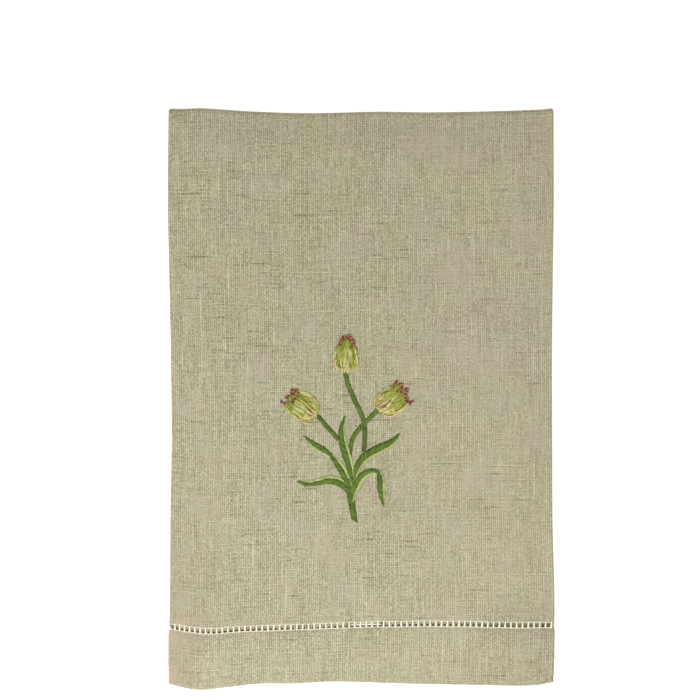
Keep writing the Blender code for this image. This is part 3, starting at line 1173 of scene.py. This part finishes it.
class Route:
    """A smooth line across the face through a few points, measured along its length."""

    def __init__(self, points_mm: Sequence[tuple[float, float]]) -> None:
        """Draw the line through points given in millimetres."""
        knots = np.array(points_mm, float) * MM
        chord = np.concatenate([[0.0], np.cumsum(np.linalg.norm(np.diff(knots, axis=0), axis=1))])
        fine = np.linspace(0, chord[-1], 40 * len(knots))
        self.line = np.stack(
            [profile(np.stack([chord, knots[:, axis]], axis=1), fine) for axis in range(2)], axis=1
        )
        steps = np.linalg.norm(np.diff(self.line, axis=0), axis=1)
        self.gone = np.concatenate([[0.0], np.cumsum(steps)])
        self.length = float(self.gone[-1])

    def at(self, place: Any) -> np.ndarray:
        """Point of the line at a distance along it, continued straight past its ends."""
        inside = np.clip(place, 0.0, self.length)
        point = np.stack([np.interp(inside, self.gone, self.line[:, axis]) for axis in range(2)], axis=-1)
        return point + self.heading(inside) * np.asarray(place - inside)[..., None]

    def heading(self, place: Any) -> np.ndarray:
        """Direction of the line at a distance along it."""
        fine = np.gradient(self.line, self.gone, axis=0)
        return unit(np.stack([np.interp(place, self.gone, fine[:, axis]) for axis in range(2)], axis=-1))

    def beside(self, place: Any, offset: Any) -> np.ndarray:
        """Point beside the line, with offset to the left of its heading."""
        ahead = self.heading(np.clip(place, 0.0, self.length))
        left = np.stack([-ahead[..., 1], ahead[..., 0]], axis=-1)
        return self.at(place) + left * np.asarray(offset)[..., None]


@dataclass
class Satin:
    """A band of close slanted stitches along a route.

    The stitches run from the band's right edge to its left one, at offsets that change along the route.
    """

    route: Route
    right_mm: tuple[tuple[float, float], ...]
    left_mm: tuple[tuple[float, float], ...]
    level_mm: float = 0.0
    slant: float = 0.8
    spacing_mm: float = 0.42
    radius_mm: float = 0.24
    dome_mm: float = 0.34
    full_dome_mm: float = 1.2
    sunk_mm: float = 0.08
    uneven_mm: float = 0.17
    shortest_mm: float = 0.15
    # Painted shade at each stitch's ends, where it dives into the cloth
    shaded_ends: float = 0.0

    def sew(
        self, work: ThreadWork, plan: FoldPlan, rng: random.Random, second: ThreadWork | None = None
    ) -> None:
        """Lay the band's stitches.

        Args:
            work: The thread in use.
            plan: Where the face lies.
            rng: The draws for uneven stitches.
            second: A thread that takes every third stitch.
        """
        steps = np.array([0.0, 0.14, 0.5, 0.86, 1.0])
        thick = self.radius_mm * MM * np.array([0.7, 1.0, 1.05, 1.0, 0.7])
        place = 0.0
        shade = 0.5
        count = 0
        while place < self.route.length:
            count += 1
            shade = 0.25 * shade + 0.75 * rng.uniform(0.0, 1.0)
            middle = 0.2 + 0.8 * shade if second else 0.6 + 1.1 * (shade - 0.5)
            # Painted shade: the stitch is darker towards its ends
            tone = middle - self.shaded_ends * np.abs(2 * steps - 1) ** 3
            share = place / self.route.length
            right, left = (
                (float(profile(edge, share)) + rng.uniform(-1, 1) * self.uneven_mm) * MM
                for edge in (self.right_mm, self.left_mm)
            )
            wide = left - right
            spot = self.route.beside(place + (steps - 0.5) * wide * self.slant, right + wide * steps)
            dome = self.dome_mm * min(abs(wide) / (self.full_dome_mm * MM), 1.0)
            lift = (self.level_mm - self.sunk_mm + dome * np.sin(steps * math.pi) ** 0.6) * MM
            path = plan.on_face(spot[:, 0], spot[:, 1], lift)
            if abs(wide) > self.shortest_mm * MM:
                (second if second and count % 3 == 0 else work).stitch(path, thick, tone)
            place += self.spacing_mm * MM * rng.uniform(0.85, 1.15)


class LeafRow(NamedTuple):
    """One blade of a leaf: its route from the root, its width, and the pale edge beside it."""

    label: str
    route_mm: tuple[tuple[float, float], ...]
    half_mm: tuple[tuple[float, float], ...]
    pale_side: float
    pale_mm: tuple[tuple[float, float], ...]
    level_mm: float


LEAVES = (
    LeafRow(
        "upright leaf",
        ((-4.4, -42.0), (-6.0, -34.0), (-8.2, -27.0), (-9.6, -20.5), (-9.7, -15.0), (-8.0, -8.8)),
        ((0.0, 0.5), (0.2, 1.1), (0.45, 1.55), (0.75, 1.2), (1.0, 0.15)),
        -1.0,
        ((0.0, 0.9), (0.3, 1.15), (0.7, 0.75), (0.92, 0.15), (1.0, 0.0)),
        0.25,
    ),
    LeafRow(
        "turned left leaf, root end",
        ((-6.2, -43.5), (-8.6, -38.0), (-11.4, -33.0), (-15.0, -28.2)),
        ((0.0, 0.9), (0.35, 1.45), (0.7, 1.2), (1.0, 0.55)),
        -1.0,
        ((0.0, 1.2), (0.5, 1.15), (0.85, 0.5), (1.0, 0.1)),
        0.15,
    ),
    LeafRow(
        "turned left leaf, tip end",
        ((-14.6, -28.5), (-18.4, -25.4), (-23.0, -22.6), (-28.3, -18.6)),
        ((0.0, 0.6), (0.3, 1.25), (0.65, 1.05), (1.0, 0.1)),
        1.0,
        ((0.0, 0.2), (0.25, 1.0), (0.6, 0.8), (0.85, 0.1), (1.0, 0.0)),
        0.05,
    ),
    LeafRow(
        "low left leaf",
        (
            (-5.6, -47.5),
            (-8.2, -43.6),
            (-12.0, -41.2),
            (-16.2, -40.6),
            (-21.0, -41.6),
            (-26.4, -42.2),
            (-31.0, -40.8),
        ),
        ((0.0, 0.9), (0.25, 1.6), (0.5, 1.3), (0.8, 0.85), (0.95, 0.7), (1.0, 0.3)),
        -1.0,
        ((0.0, 0.3), (0.2, 0.9), (0.5, 1.0), (0.8, 0.7), (0.93, 0.1), (1.0, 0.0)),
        0.10,
    ),
    LeafRow(
        "right leaf",
        (
            (-4.0, -40.0),
            (-2.4, -34.0),
            (1.0, -29.0),
            (5.6, -26.0),
            (11.2, -23.4),
            (15.4, -21.0),
            (18.6, -17.6),
        ),
        ((0.0, 0.6), (0.2, 1.3), (0.5, 1.75), (0.8, 1.3), (1.0, 0.2)),
        -1.0,
        ((0.0, 0.9), (0.4, 0.95), (0.75, 0.8), (0.95, 0.2), (1.0, 0.0)),
        0.20,
    ),
    LeafRow(
        "bent right leaf, root end",
        ((-5.4, -50.5), (-4.2, -45.0), (-1.8, -40.0), (1.4, -37.0), (4.8, -35.6), (8.4, -36.4)),
        ((0.0, 0.9), (0.35, 1.5), (0.7, 1.1), (1.0, 0.6)),
        -1.0,
        ((0.0, 0.5), (0.25, 1.35), (0.65, 1.2), (0.9, 0.5), (1.0, 0.2)),
        0.30,
    ),
    LeafRow(
        "bent right leaf, hanging end",
        ((8.0, -35.8), (9.0, -39.6), (9.1, -44.2), (9.6, -48.2), (11.0, -53.4)),
        ((0.0, 0.6), (0.3, 1.35), (0.65, 1.1), (1.0, 0.15)),
        1.0,
        ((0.0, 0.4), (0.2, 0.95), (0.7, 0.8), (0.92, 0.1), (1.0, 0.0)),
        0.20,
    ),
)


class StemRow(NamedTuple):
    """One stem: its route from the bud down, and its half width."""

    label: str
    route_mm: tuple[tuple[float, float], ...]
    half_mm: tuple[tuple[float, float], ...]
    level_mm: float


STEMS = (
    StemRow(
        "stem of the left bud",
        ((-21.4, -8.8), (-17.4, -13.6), (-12.8, -18.6), (-10.6, -21.4)),
        ((0.0, 1.05), (0.3, 1.0), (1.0, 1.0)),
        0.05,
    ),
    StemRow(
        "stem of the right bud",
        (
            (8.2, -6.0),
            (4.6, -9.4),
            (0.8, -13.2),
            (-2.8, -17.4),
            (-4.8, -21.4),
            (-5.4, -25.2),
            (-5.8, -29.4),
        ),
        ((0.0, 1.15), (0.3, 1.1), (1.0, 0.95)),
        0.0,
    ),
    StemRow(
        "stem of the top bud",
        ((-8.0, 12.2), (-6.6, 6.4), (-4.2, 0.4), (-0.8, -6.6), (1.2, -12.0), (1.5, -19.0), (1.2, -27.0)),
        ((0.0, 1.05), (0.3, 1.05), (1.0, 1.0)),
        0.15,
    ),
    StemRow(
        "main stem",
        ((-5.9, -40.0), (-5.6, -45.0), (-4.8, -51.0), (-3.4, -60.2)),
        ((0.0, 0.8), (0.25, 1.65), (0.6, 1.5), (1.0, 1.35)),
        0.10,
    ),
)


class PetalRow(NamedTuple):
    """One petal of a bud, in shares of the bud's half width across and its length along.

    The bias is where the petal's middle lies, and half is its half width, from the base to the tip.
    """

    bias: tuple[tuple[float, float], ...]
    half: tuple[tuple[float, float], ...]
    reach: float
    strands: int
    level_mm: float


class BudRow(NamedTuple):
    """A closed bud: where its base is, which way it points, and its size.

    Tips and veins are routes in the bud's own millimetres: across, and along from its base.
    """

    label: str
    base_mm: tuple[float, float]
    heading_deg: float
    length_mm: float
    half_width_mm: float
    petals: tuple[PetalRow, ...]
    tips_mm: tuple[tuple[tuple[float, float], ...], ...]
    veins_mm: tuple[tuple[tuple[float, float], ...], ...]
    edge_rise: float
    fringe_reach: float
    paleness: float

    def spot(self, across_mm: np.ndarray, along_mm: np.ndarray) -> np.ndarray:
        """Places on the face from places in the bud's own millimetres."""
        angle = math.radians(self.heading_deg)
        ahead = np.array([math.cos(angle), math.sin(angle)])
        right = np.array([ahead[1], -ahead[0]])
        return (np.array(self.base_mm) + np.outer(across_mm, right) + np.outer(along_mm, ahead)) * MM

    def route(self, points_mm: Sequence[tuple[float, float]]) -> Route:
        """Route on the face through points in the bud's own millimetres."""
        across_mm, along_mm = np.array(points_mm).T
        return Route(tuple(map(tuple, self.spot(across_mm, along_mm) / MM)))


SLIM_PETALS = (
    PetalRow(
        ((0.0, -0.46), (0.25, -0.58), (0.5, -0.56), (0.75, -0.40), (1.0, -0.14)),
        ((0.0, 0.30), (0.25, 0.42), (0.5, 0.46), (0.75, 0.38), (1.0, 0.16)),
        0.93,
        19,
        0.05,
    ),
    PetalRow(
        ((0.0, 0.46), (0.25, 0.58), (0.5, 0.56), (0.75, 0.40), (1.0, 0.16)),
        ((0.0, 0.30), (0.25, 0.42), (0.5, 0.46), (0.75, 0.38), (1.0, 0.16)),
        0.92,
        19,
        0.05,
    ),
    PetalRow(
        ((0.0, 0.0), (0.5, -0.04), (1.0, 0.02)),
        ((0.0, 0.44), (0.4, 0.44), (0.75, 0.36), (1.0, 0.20)),
        0.97,
        18,
        0.30,
    ),
)
ROUND_PETALS = (
    PetalRow(
        ((0.0, -0.14), (0.1, -0.42), (0.4, -0.61), (0.8, -0.57), (1.0, -0.48)),
        ((0.0, 0.12), (0.1, 0.32), (0.4, 0.39), (0.8, 0.30), (1.0, 0.20)),
        0.98,
        19,
        0.05,
    ),
    PetalRow(
        ((0.0, 0.14), (0.1, 0.42), (0.4, 0.61), (0.8, 0.57), (1.0, 0.46)),
        ((0.0, 0.12), (0.1, 0.32), (0.4, 0.39), (0.8, 0.30), (1.0, 0.20)),
        0.96,
        19,
        0.05,
    ),
    PetalRow(
        ((0.0, 0.0), (0.5, 0.02), (1.0, 0.0)),
        ((0.0, 0.20), (0.3, 0.50), (0.7, 0.50), (1.0, 0.38)),
        1.0,
        22,
        0.30,
    ),
)

BUDS = (
    BudRow(
        "top bud",
        (-7.5, 12.0),
        90.0,
        18.0,
        6.0,
        SLIM_PETALS,
        (
            ((-3.0, 13.5), (-3.0, 14.5), (-2.0, 16.5), (-0.5, 17.5)),
            ((0.5, 17.0), (1.0, 18.0), (2.5, 16.5), (3.5, 15.0), (3.5, 13.5), (1.5, 12.0)),
        ),
        (),
        0.6,
        0.19,
        0.02,
    ),
    BudRow(
        "left bud",
        (-22.0, -9.0),
        146.0,
        16.5,
        6.9,
        ROUND_PETALS,
        (
            ((-3.5, 18.0), (-4.0, 16.5), (-3.0, 15.0), (-3.5, 13.5)),
            ((0.5, 16.5), (-0.5, 17.5), (-1.0, 16.0)),
            ((2.0, 16.0), (3.5, 17.0), (4.0, 15.5), (5.0, 14.5), (4.0, 13.0), (2.5, 13.0)),
            ((1.0, 13.0), (0.0, 14.0), (-1.0, 13.0)),
        ),
        (
            ((0.0, 1.5), (0.5, 4.5), (1.0, 7.5)),
            ((1.5, 1.5), (2.0, 3.0), (2.5, 5.0)),
            ((-0.5, 1.0), (-1.5, 3.0), (-2.0, 6.0)),
        ),
        1.6,
        0.36,
        0.05,
    ),
    BudRow(
        "right bud",
        (8.0, -6.0),
        33.0,
        16.5,
        6.9,
        ROUND_PETALS,
        (
            ((-6.5, 15.0), (-6.0, 14.0), (-5.5, 12.5)),
            ((-5.0, 15.5), (-4.0, 16.5), (-3.0, 16.0)),
            ((-1.5, 17.0), (0.0, 17.5), (0.0, 16.0)),
            ((-2.5, 13.0), (-2.0, 14.5), (-1.0, 13.5)),
            ((0.5, 15.0), (2.0, 15.0), (2.5, 13.5)),
            ((4.0, 14.0), (5.5, 14.5), (6.0, 17.0)),
        ),
        (
            ((-0.5, 0.5), (0.0, 4.5), (-0.5, 8.5)),
            ((-1.5, 0.5), (-2.0, 2.0), (-2.0, 3.5)),
            ((0.5, 1.0), (0.5, 3.0), (1.0, 4.5)),
        ),
        1.6,
        0.36,
        0.09,
    ),
)


SPRIG_PIECES = {
    Thread.LEAF: "stem_and_leaf_stitches",
    Thread.LEAF_PALE: "pale_leaf_stitches",
    Thread.BUD: "bud_stitches",
    Thread.BUD_DEEP: "deep_bud_stitches",
    Thread.BUD_GREEN: "green_bud_stitches",
    Thread.BUD_LIGHT: "light_bud_stitches",
    Thread.ROSE: "rose_bud_stitches",
    Thread.TIP: "petal_tip_stitches",
    Thread.TIP_PALE: "pale_tip_stitches",
    Thread.VEIN: "vein_stitches",
}


# Stations along a strand, and how its thickness swells there
STRAND_STEPS = np.linspace(0.0, 1.0, 9)
STRAND_SHAPE = np.array([0.6, 0.9, 1.0, 1.05, 1.0, 1.05, 1.0, 0.9, 0.6])


@dataclass
class Sprig:
    """The embroidered sprig: stems, two-tone leaves and three closed buds, on the face that shows.

    A size that ends in mm is a thread's radius, unless its name says more. A strand row is the part of a
    petal's length that it covers.
    """

    plan: FoldPlan
    strand_rows: tuple[tuple[float, float], ...] = ((0.0, 0.46), (0.26, 0.74), (0.54, 1.0))
    strand_mm: float = 0.195
    fringe_strands: int = 21
    fringe_mm: float = 0.17
    fringe_light_share: float = 0.40
    edge_strands: int = 5
    edge_strand_mm: float = 0.16
    vein_level_mm: float = 1.00
    vein_mm: tuple[float, ...] = (0.27, 0.19, 0.19)
    tip_half_mm: tuple[tuple[float, float], ...] = ((0.0, 0.30), (0.5, 0.50), (1.0, 0.30))
    rng: random.Random = field(default_factory=lambda: random.Random(SEED + 1))
    works: dict[Thread, ThreadWork] = field(default_factory=dict)

    def __post_init__(self) -> None:
        """Thread the needles, one thread a piece."""
        self.works = {thread: ThreadWork(name, thread) for thread, name in SPRIG_PIECES.items()}

    def build(self) -> list[bpy.types.Object]:
        """Sew the sprig, from the stems up to the buds."""
        for rows, sew in ((STEMS, self.sew_stem), (LEAVES, self.sew_leaf), (BUDS, self.sew_bud)):
            for row in rows:
                sew(row)
                LOG.info("sewn: %s", row.label)
        return [work.piece() for work in self.works.values()]

    def lay(self, thread: Thread, places: np.ndarray, lift: Any, radius: Any, tone: Any) -> None:
        """Lay one strand over the face, through the given places."""
        path = self.plan.on_face(places[:, 0], places[:, 1], lift)
        self.works[thread].stitch(path, radius, tone)

    @staticmethod
    def mirrored(half_mm: tuple[tuple[float, float], ...]) -> tuple[tuple[float, float], ...]:
        """The same widths on the other side of the route."""
        return tuple((share, -half) for share, half in half_mm)

    def sew_stem(self, stem: StemRow) -> None:
        """Sew one stem."""
        right_mm = self.mirrored(stem.half_mm)
        band = Satin(Route(stem.route_mm), right_mm, stem.half_mm, stem.level_mm, shaded_ends=0.7)
        band.sew(self.works[Thread.LEAF], self.plan, self.rng)

    def sew_leaf(self, leaf: LeafRow) -> None:
        """Sew one blade: the pale edge first, then the dark blade over its border."""
        route = Route(leaf.route_mm)
        shares = np.linspace(0.0, 1.0, 9)
        half = profile(leaf.half_mm, shares)
        pale = profile(leaf.pale_mm, shares)
        inner = tuple(zip(shares, leaf.pale_side * (half - 0.15)))
        outer = tuple(zip(shares, leaf.pale_side * (half + pale)))
        edge = Satin(route, inner, outer, leaf.level_mm - 0.05, slant=1.2 * leaf.pale_side, dome_mm=0.26)
        edge.sew(self.works[Thread.LEAF_PALE], self.plan, self.rng)
        right_mm = self.mirrored(leaf.half_mm)
        blade = Satin(route, right_mm, leaf.half_mm, leaf.level_mm, slant=0.9, shaded_ends=0.7)
        blade.sew(self.works[Thread.LEAF], self.plan, self.rng)

    def sew_bud(self, bud: BudRow) -> None:
        """Sew one bud: its petals in long and short stitches, then its fringe, edges, veins and tips."""
        for petal in bud.petals:
            self.sew_petal(bud, petal)
        self.sew_fringe(bud)
        for side, petal in ((-1.0, bud.petals[0]), (1.0, bud.petals[1])):
            self.sew_edge(bud, side, petal)
        for vein, half_mm in zip(bud.veins_mm, self.vein_mm):
            route = bud.route(vein)
            radius = half_mm * MM * np.sin(0.3 + 2.5 * STRAND_STEPS)
            places = route.at(STRAND_STEPS * route.length)
            self.lay(Thread.VEIN, places, self.vein_level_mm * MM, radius, self.rng.uniform(0.1, 0.6))
        for tip in bud.tips_mm:
            self.sew_tip(bud, tip)

    def sew_petal(self, bud: BudRow, petal: PetalRow) -> None:
        """Sew one petal as fanned strands, in rows that overlap from the base to the tip.

        Each strand lies aside of the petal's middle by a share of its half width.
        """
        rng, steps = self.rng, STRAND_STEPS
        for row_start, row_stop in self.strand_rows:
            for number in range(petal.strands):
                aside = -1.0 + 2.0 * (number + rng.uniform(0.2, 0.8)) / petal.strands
                ragged = rng.uniform(-0.06, 0.06)
                foot = float(profile(petal.bias, 0.0)) + float(profile(petal.half, 0.0)) * aside
                low, high = max(row_start + ragged, 0.0), row_stop + ragged
                if row_start == 0:
                    low = rng.uniform(-0.03, 0.06) + 0.14 * foot**2
                if row_stop == 1:
                    high = 1.0 - 0.10 * aside * aside + rng.uniform(-0.06, 0.04)
                share = low + (high - low) * steps
                bias, half = profile(petal.bias, share), profile(petal.half, share)
                wave = 0.03 * np.sin(share * rng.uniform(10, 26) + rng.uniform(0, 6))
                drift = rng.uniform(-0.10, 0.10) * (steps - 0.5)
                across = (bias + half * aside + wave + drift) * bud.half_width_mm
                crown = 0.32 * np.sin(np.clip(share, 0, 1) * math.pi) ** 0.5 * (1 - 0.5 * aside * aside)
                ends = 0.25 * np.abs(2 * steps - 1) ** 6
                lift = (petal.level_mm + 0.05 + crown - ends + rng.uniform(0, 0.12)) * MM
                side = float(np.mean(bias + half * aside))
                thread = self.strand_colour(side, float(share.mean()), rng.random() + bud.paleness)
                tone = rng.uniform(0.0, 1.0) + np.array([rng.uniform(-0.3, 0.3) for _ in steps])
                places = bud.spot(across, share * petal.reach * bud.length_mm)
                self.lay(thread, places, lift, self.strand_mm * MM * STRAND_SHAPE, tone)

    def sew_fringe(self, bud: BudRow) -> None:
        """Lay the light and rosy strands that fan out from a bud's base."""
        rng = self.rng
        rim = float(np.abs(profile(bud.petals[1].bias, np.array([0.0, 0.15]))).max())
        for number in range(self.fringe_strands):
            aside = -1.0 + 2.0 * number / (self.fringe_strands - 1) + rng.uniform(-0.05, 0.05)
            edge = aside * aside
            low = rng.uniform(-0.035, 0.03) + 0.14 * edge * bud.edge_rise
            share = low + STRAND_STEPS * bud.fringe_reach * rng.uniform(0.35, 1.0) * (1 - 0.4 * edge)
            across = aside * bud.half_width_mm * (rim + 0.30) * (0.75 + 0.8 * np.clip(share, 0, 1))
            across = across + 0.18 * np.sin(STRAND_STEPS * rng.uniform(3, 7) + rng.uniform(0, 6))
            thread = Thread.BUD_LIGHT if rng.random() < self.fringe_light_share else Thread.ROSE
            places = bud.spot(across, share * bud.length_mm)
            self.lay(thread, places, (0.86 - 0.46 * edge) * MM, self.fringe_mm * MM, rng.uniform(0.1, 1.2))

    def sew_edge(self, bud: BudRow, side: float, petal: PetalRow) -> None:
        """Lay a few rosy strands low on one outer edge of a bud."""
        rng = self.rng
        for number in range(self.edge_strands):
            low = 0.06 + 0.05 * number + rng.uniform(0.0, 0.04)
            share = low + rng.uniform(0.18, 0.30) * STRAND_STEPS
            rim = profile(petal.bias, share) + side * profile(petal.half, share)
            across = rim * bud.half_width_mm + side * (0.10 - 0.26 * number * (0.4 + STRAND_STEPS))
            places = bud.spot(across, share * bud.length_mm)
            lift = (0.30 + 0.12 * number) * MM
            self.lay(Thread.ROSE, places, lift, self.edge_strand_mm * MM, rng.uniform(-0.2, 0.8))

    def sew_tip(self, bud: BudRow, tip: tuple[tuple[float, float], ...]) -> None:
        """Sew one crimson tip, which lies higher where it is on the petals than beyond them."""
        along_mm = np.mean([point[1] for point in tip])
        inside = min(max((bud.length_mm * 0.98 - along_mm) / 3.0, 0.0), 1.0)
        right_mm = self.mirrored(self.tip_half_mm)
        looks = {"level_mm": 0.14 + 0.76 * inside, "slant": 1.2, "spacing_mm": 0.62, "radius_mm": 0.36}
        band = Satin(bud.route(tip), right_mm, self.tip_half_mm, **looks)
        band.sew(self.works[Thread.TIP], self.plan, self.rng, self.works[Thread.TIP_PALE])

    @staticmethod
    def strand_colour(side: float, share: float, draw: float) -> Thread:
        """Choose a strand's thread by where it lies: light outer edges and middle, deep or green between.

        Args:
            side: Where it lies across the bud, -1 to 1.
            share: Where it lies along the bud, from the base.
            draw: An even draw from 0 to 1; a high one gives a light thread more often.

        Returns:
            The thread.
        """
        if abs(side) > 0.80:
            return Thread.BUD_LIGHT if draw > 0.34 else Thread.BUD
        if share < 0.62 and abs(side) < 0.34 - 0.40 * share:
            return Thread.BUD_LIGHT if draw > 0.42 else Thread.BUD
        if share > 0.66:
            return Thread.BUD_DEEP if draw < 0.32 else Thread.BUD_GREEN if draw < 0.74 else Thread.BUD
        if draw < 0.46:
            return Thread.BUD_DEEP
        return Thread.BUD if draw < 0.82 else Thread.BUD_LIGHT


@dataclass
class Studio:
    """The plain pale floor, the soft light and the camera above the face."""

    mm_a_pixel: float = 0.486
    picture_pixels: int = 700
    face_middle_px: tuple[float, float] = (361.5, 397.5)
    camera_height: float = 1.5
    sensor_mm: float = 36.0
    key_place: tuple[float, float, float] = (-0.22, -0.62, 0.62)
    key_size: float = 0.4
    key_power: float = 7.1
    sky_strength: float = 0.69
    floor_size: float = 4.0
    floor_grey: float = 0.94
    floor_rough: float = 0.95
    floor_light: float = 0.54
    under_light: Colour = (0.068, 0.047, 0.012, 1.0)
    under_half: tuple[Ramp, Ramp] = (Ramp(0.084, 0.090), Ramp(0.128, 0.136))

    def build(self) -> None:
        """Set the studio up."""
        self.floor()
        self.camera()
        self.key_light()
        world = bpy.data.worlds.new("studio")
        bpy.context.scene.world = world
        world.use_nodes = True
        sky = world.node_tree.nodes["Background"].inputs
        sky["Color"].default_value = (1.0, 1.0, 1.0, 1.0)
        sky["Strength"].default_value = self.sky_strength
        bpy.context.scene.view_settings.view_transform = "Standard"

    def floor(self) -> None:
        """A plain pale floor with a faint light of its own, which is dim and brown beneath the towel:
        painted warm bounce light, seen through the ladder's holes.
        """
        alone()
        bpy.ops.mesh.primitive_plane_add(size=self.floor_size)
        floor = bpy.context.object
        floor.name = "floor"
        bench = Bench("pale_floor")
        middle = bench.split(bench.add("ShaderNodeTexCoord", {}, {}, out="Object"))[:2]
        outside_x, outside_y = (
            place.worked("ABSOLUTE").clamped(*half) for place, half in zip(middle, self.under_half)
        )
        outside = outside_x.worked("MAXIMUM", outside_y)
        looks = {
            "Base Color": (self.floor_grey, self.floor_grey, self.floor_grey, 1.0),
            "Roughness": self.floor_rough,
            "Emission Color": bench.blend(outside, self.under_light, (1.0, 1.0, 1.0, 1.0)),
            "Emission Strength": self.floor_light,
        }
        for name, value in looks.items():
            bench.join(bench.shader.inputs[name], value)
        floor.data.materials.append(bench.material)

    def camera(self) -> None:
        """Look straight down, with the face where the picture has it."""
        middle = self.picture_pixels / 2
        x = (middle - self.face_middle_px[0]) * self.mm_a_pixel * MM
        y = (self.face_middle_px[1] - middle) * self.mm_a_pixel * MM
        lens = bpy.data.cameras.new("camera")
        view = bpy.data.objects.new("camera", lens)
        bpy.context.scene.collection.objects.link(view)
        face_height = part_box(CLOTH_NODE)[1][2]
        view.location = (x, y, self.camera_height + face_height)
        lens.sensor_width = self.sensor_mm
        lens.lens = self.sensor_mm * self.camera_height / (self.picture_pixels * self.mm_a_pixel * MM)
        bpy.context.scene.camera = view

    def key_light(self) -> None:
        """A large soft square light that faces the towel."""
        lamp = bpy.data.lights.new("key", "AREA")
        lamp.size = self.key_size
        lamp.energy = self.key_power
        light = bpy.data.objects.new("key", lamp)
        bpy.context.scene.collection.objects.link(light)
        light.location = self.key_place
        light.visible_camera = False
        away = unit(np.array(self.key_place))
        light.rotation_euler = (math.acos(away[2]), 0.0, math.atan2(away[1], away[0]) + math.pi / 2)


def main() -> None:
    """Build the towel's looks in order and report each piece."""
    logging.basicConfig(level=logging.INFO, format="%(name)s %(message)s")
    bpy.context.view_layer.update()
    plan, holes = FoldPlan(), HolePlan()
    cloth = TowelCloth(plan, holes).build()
    ladders = [
        LadderStitching(plan, holes, "front_ladder_stitches", True).build(),
        LadderStitching(plan, holes, "under_ladder_stitches", False, panel_scallop=UNDER_SCALLOP).build(),
    ]
    sprig = Sprig(plan).build()
    Studio().build()


if __name__ == "__main__":
    main()
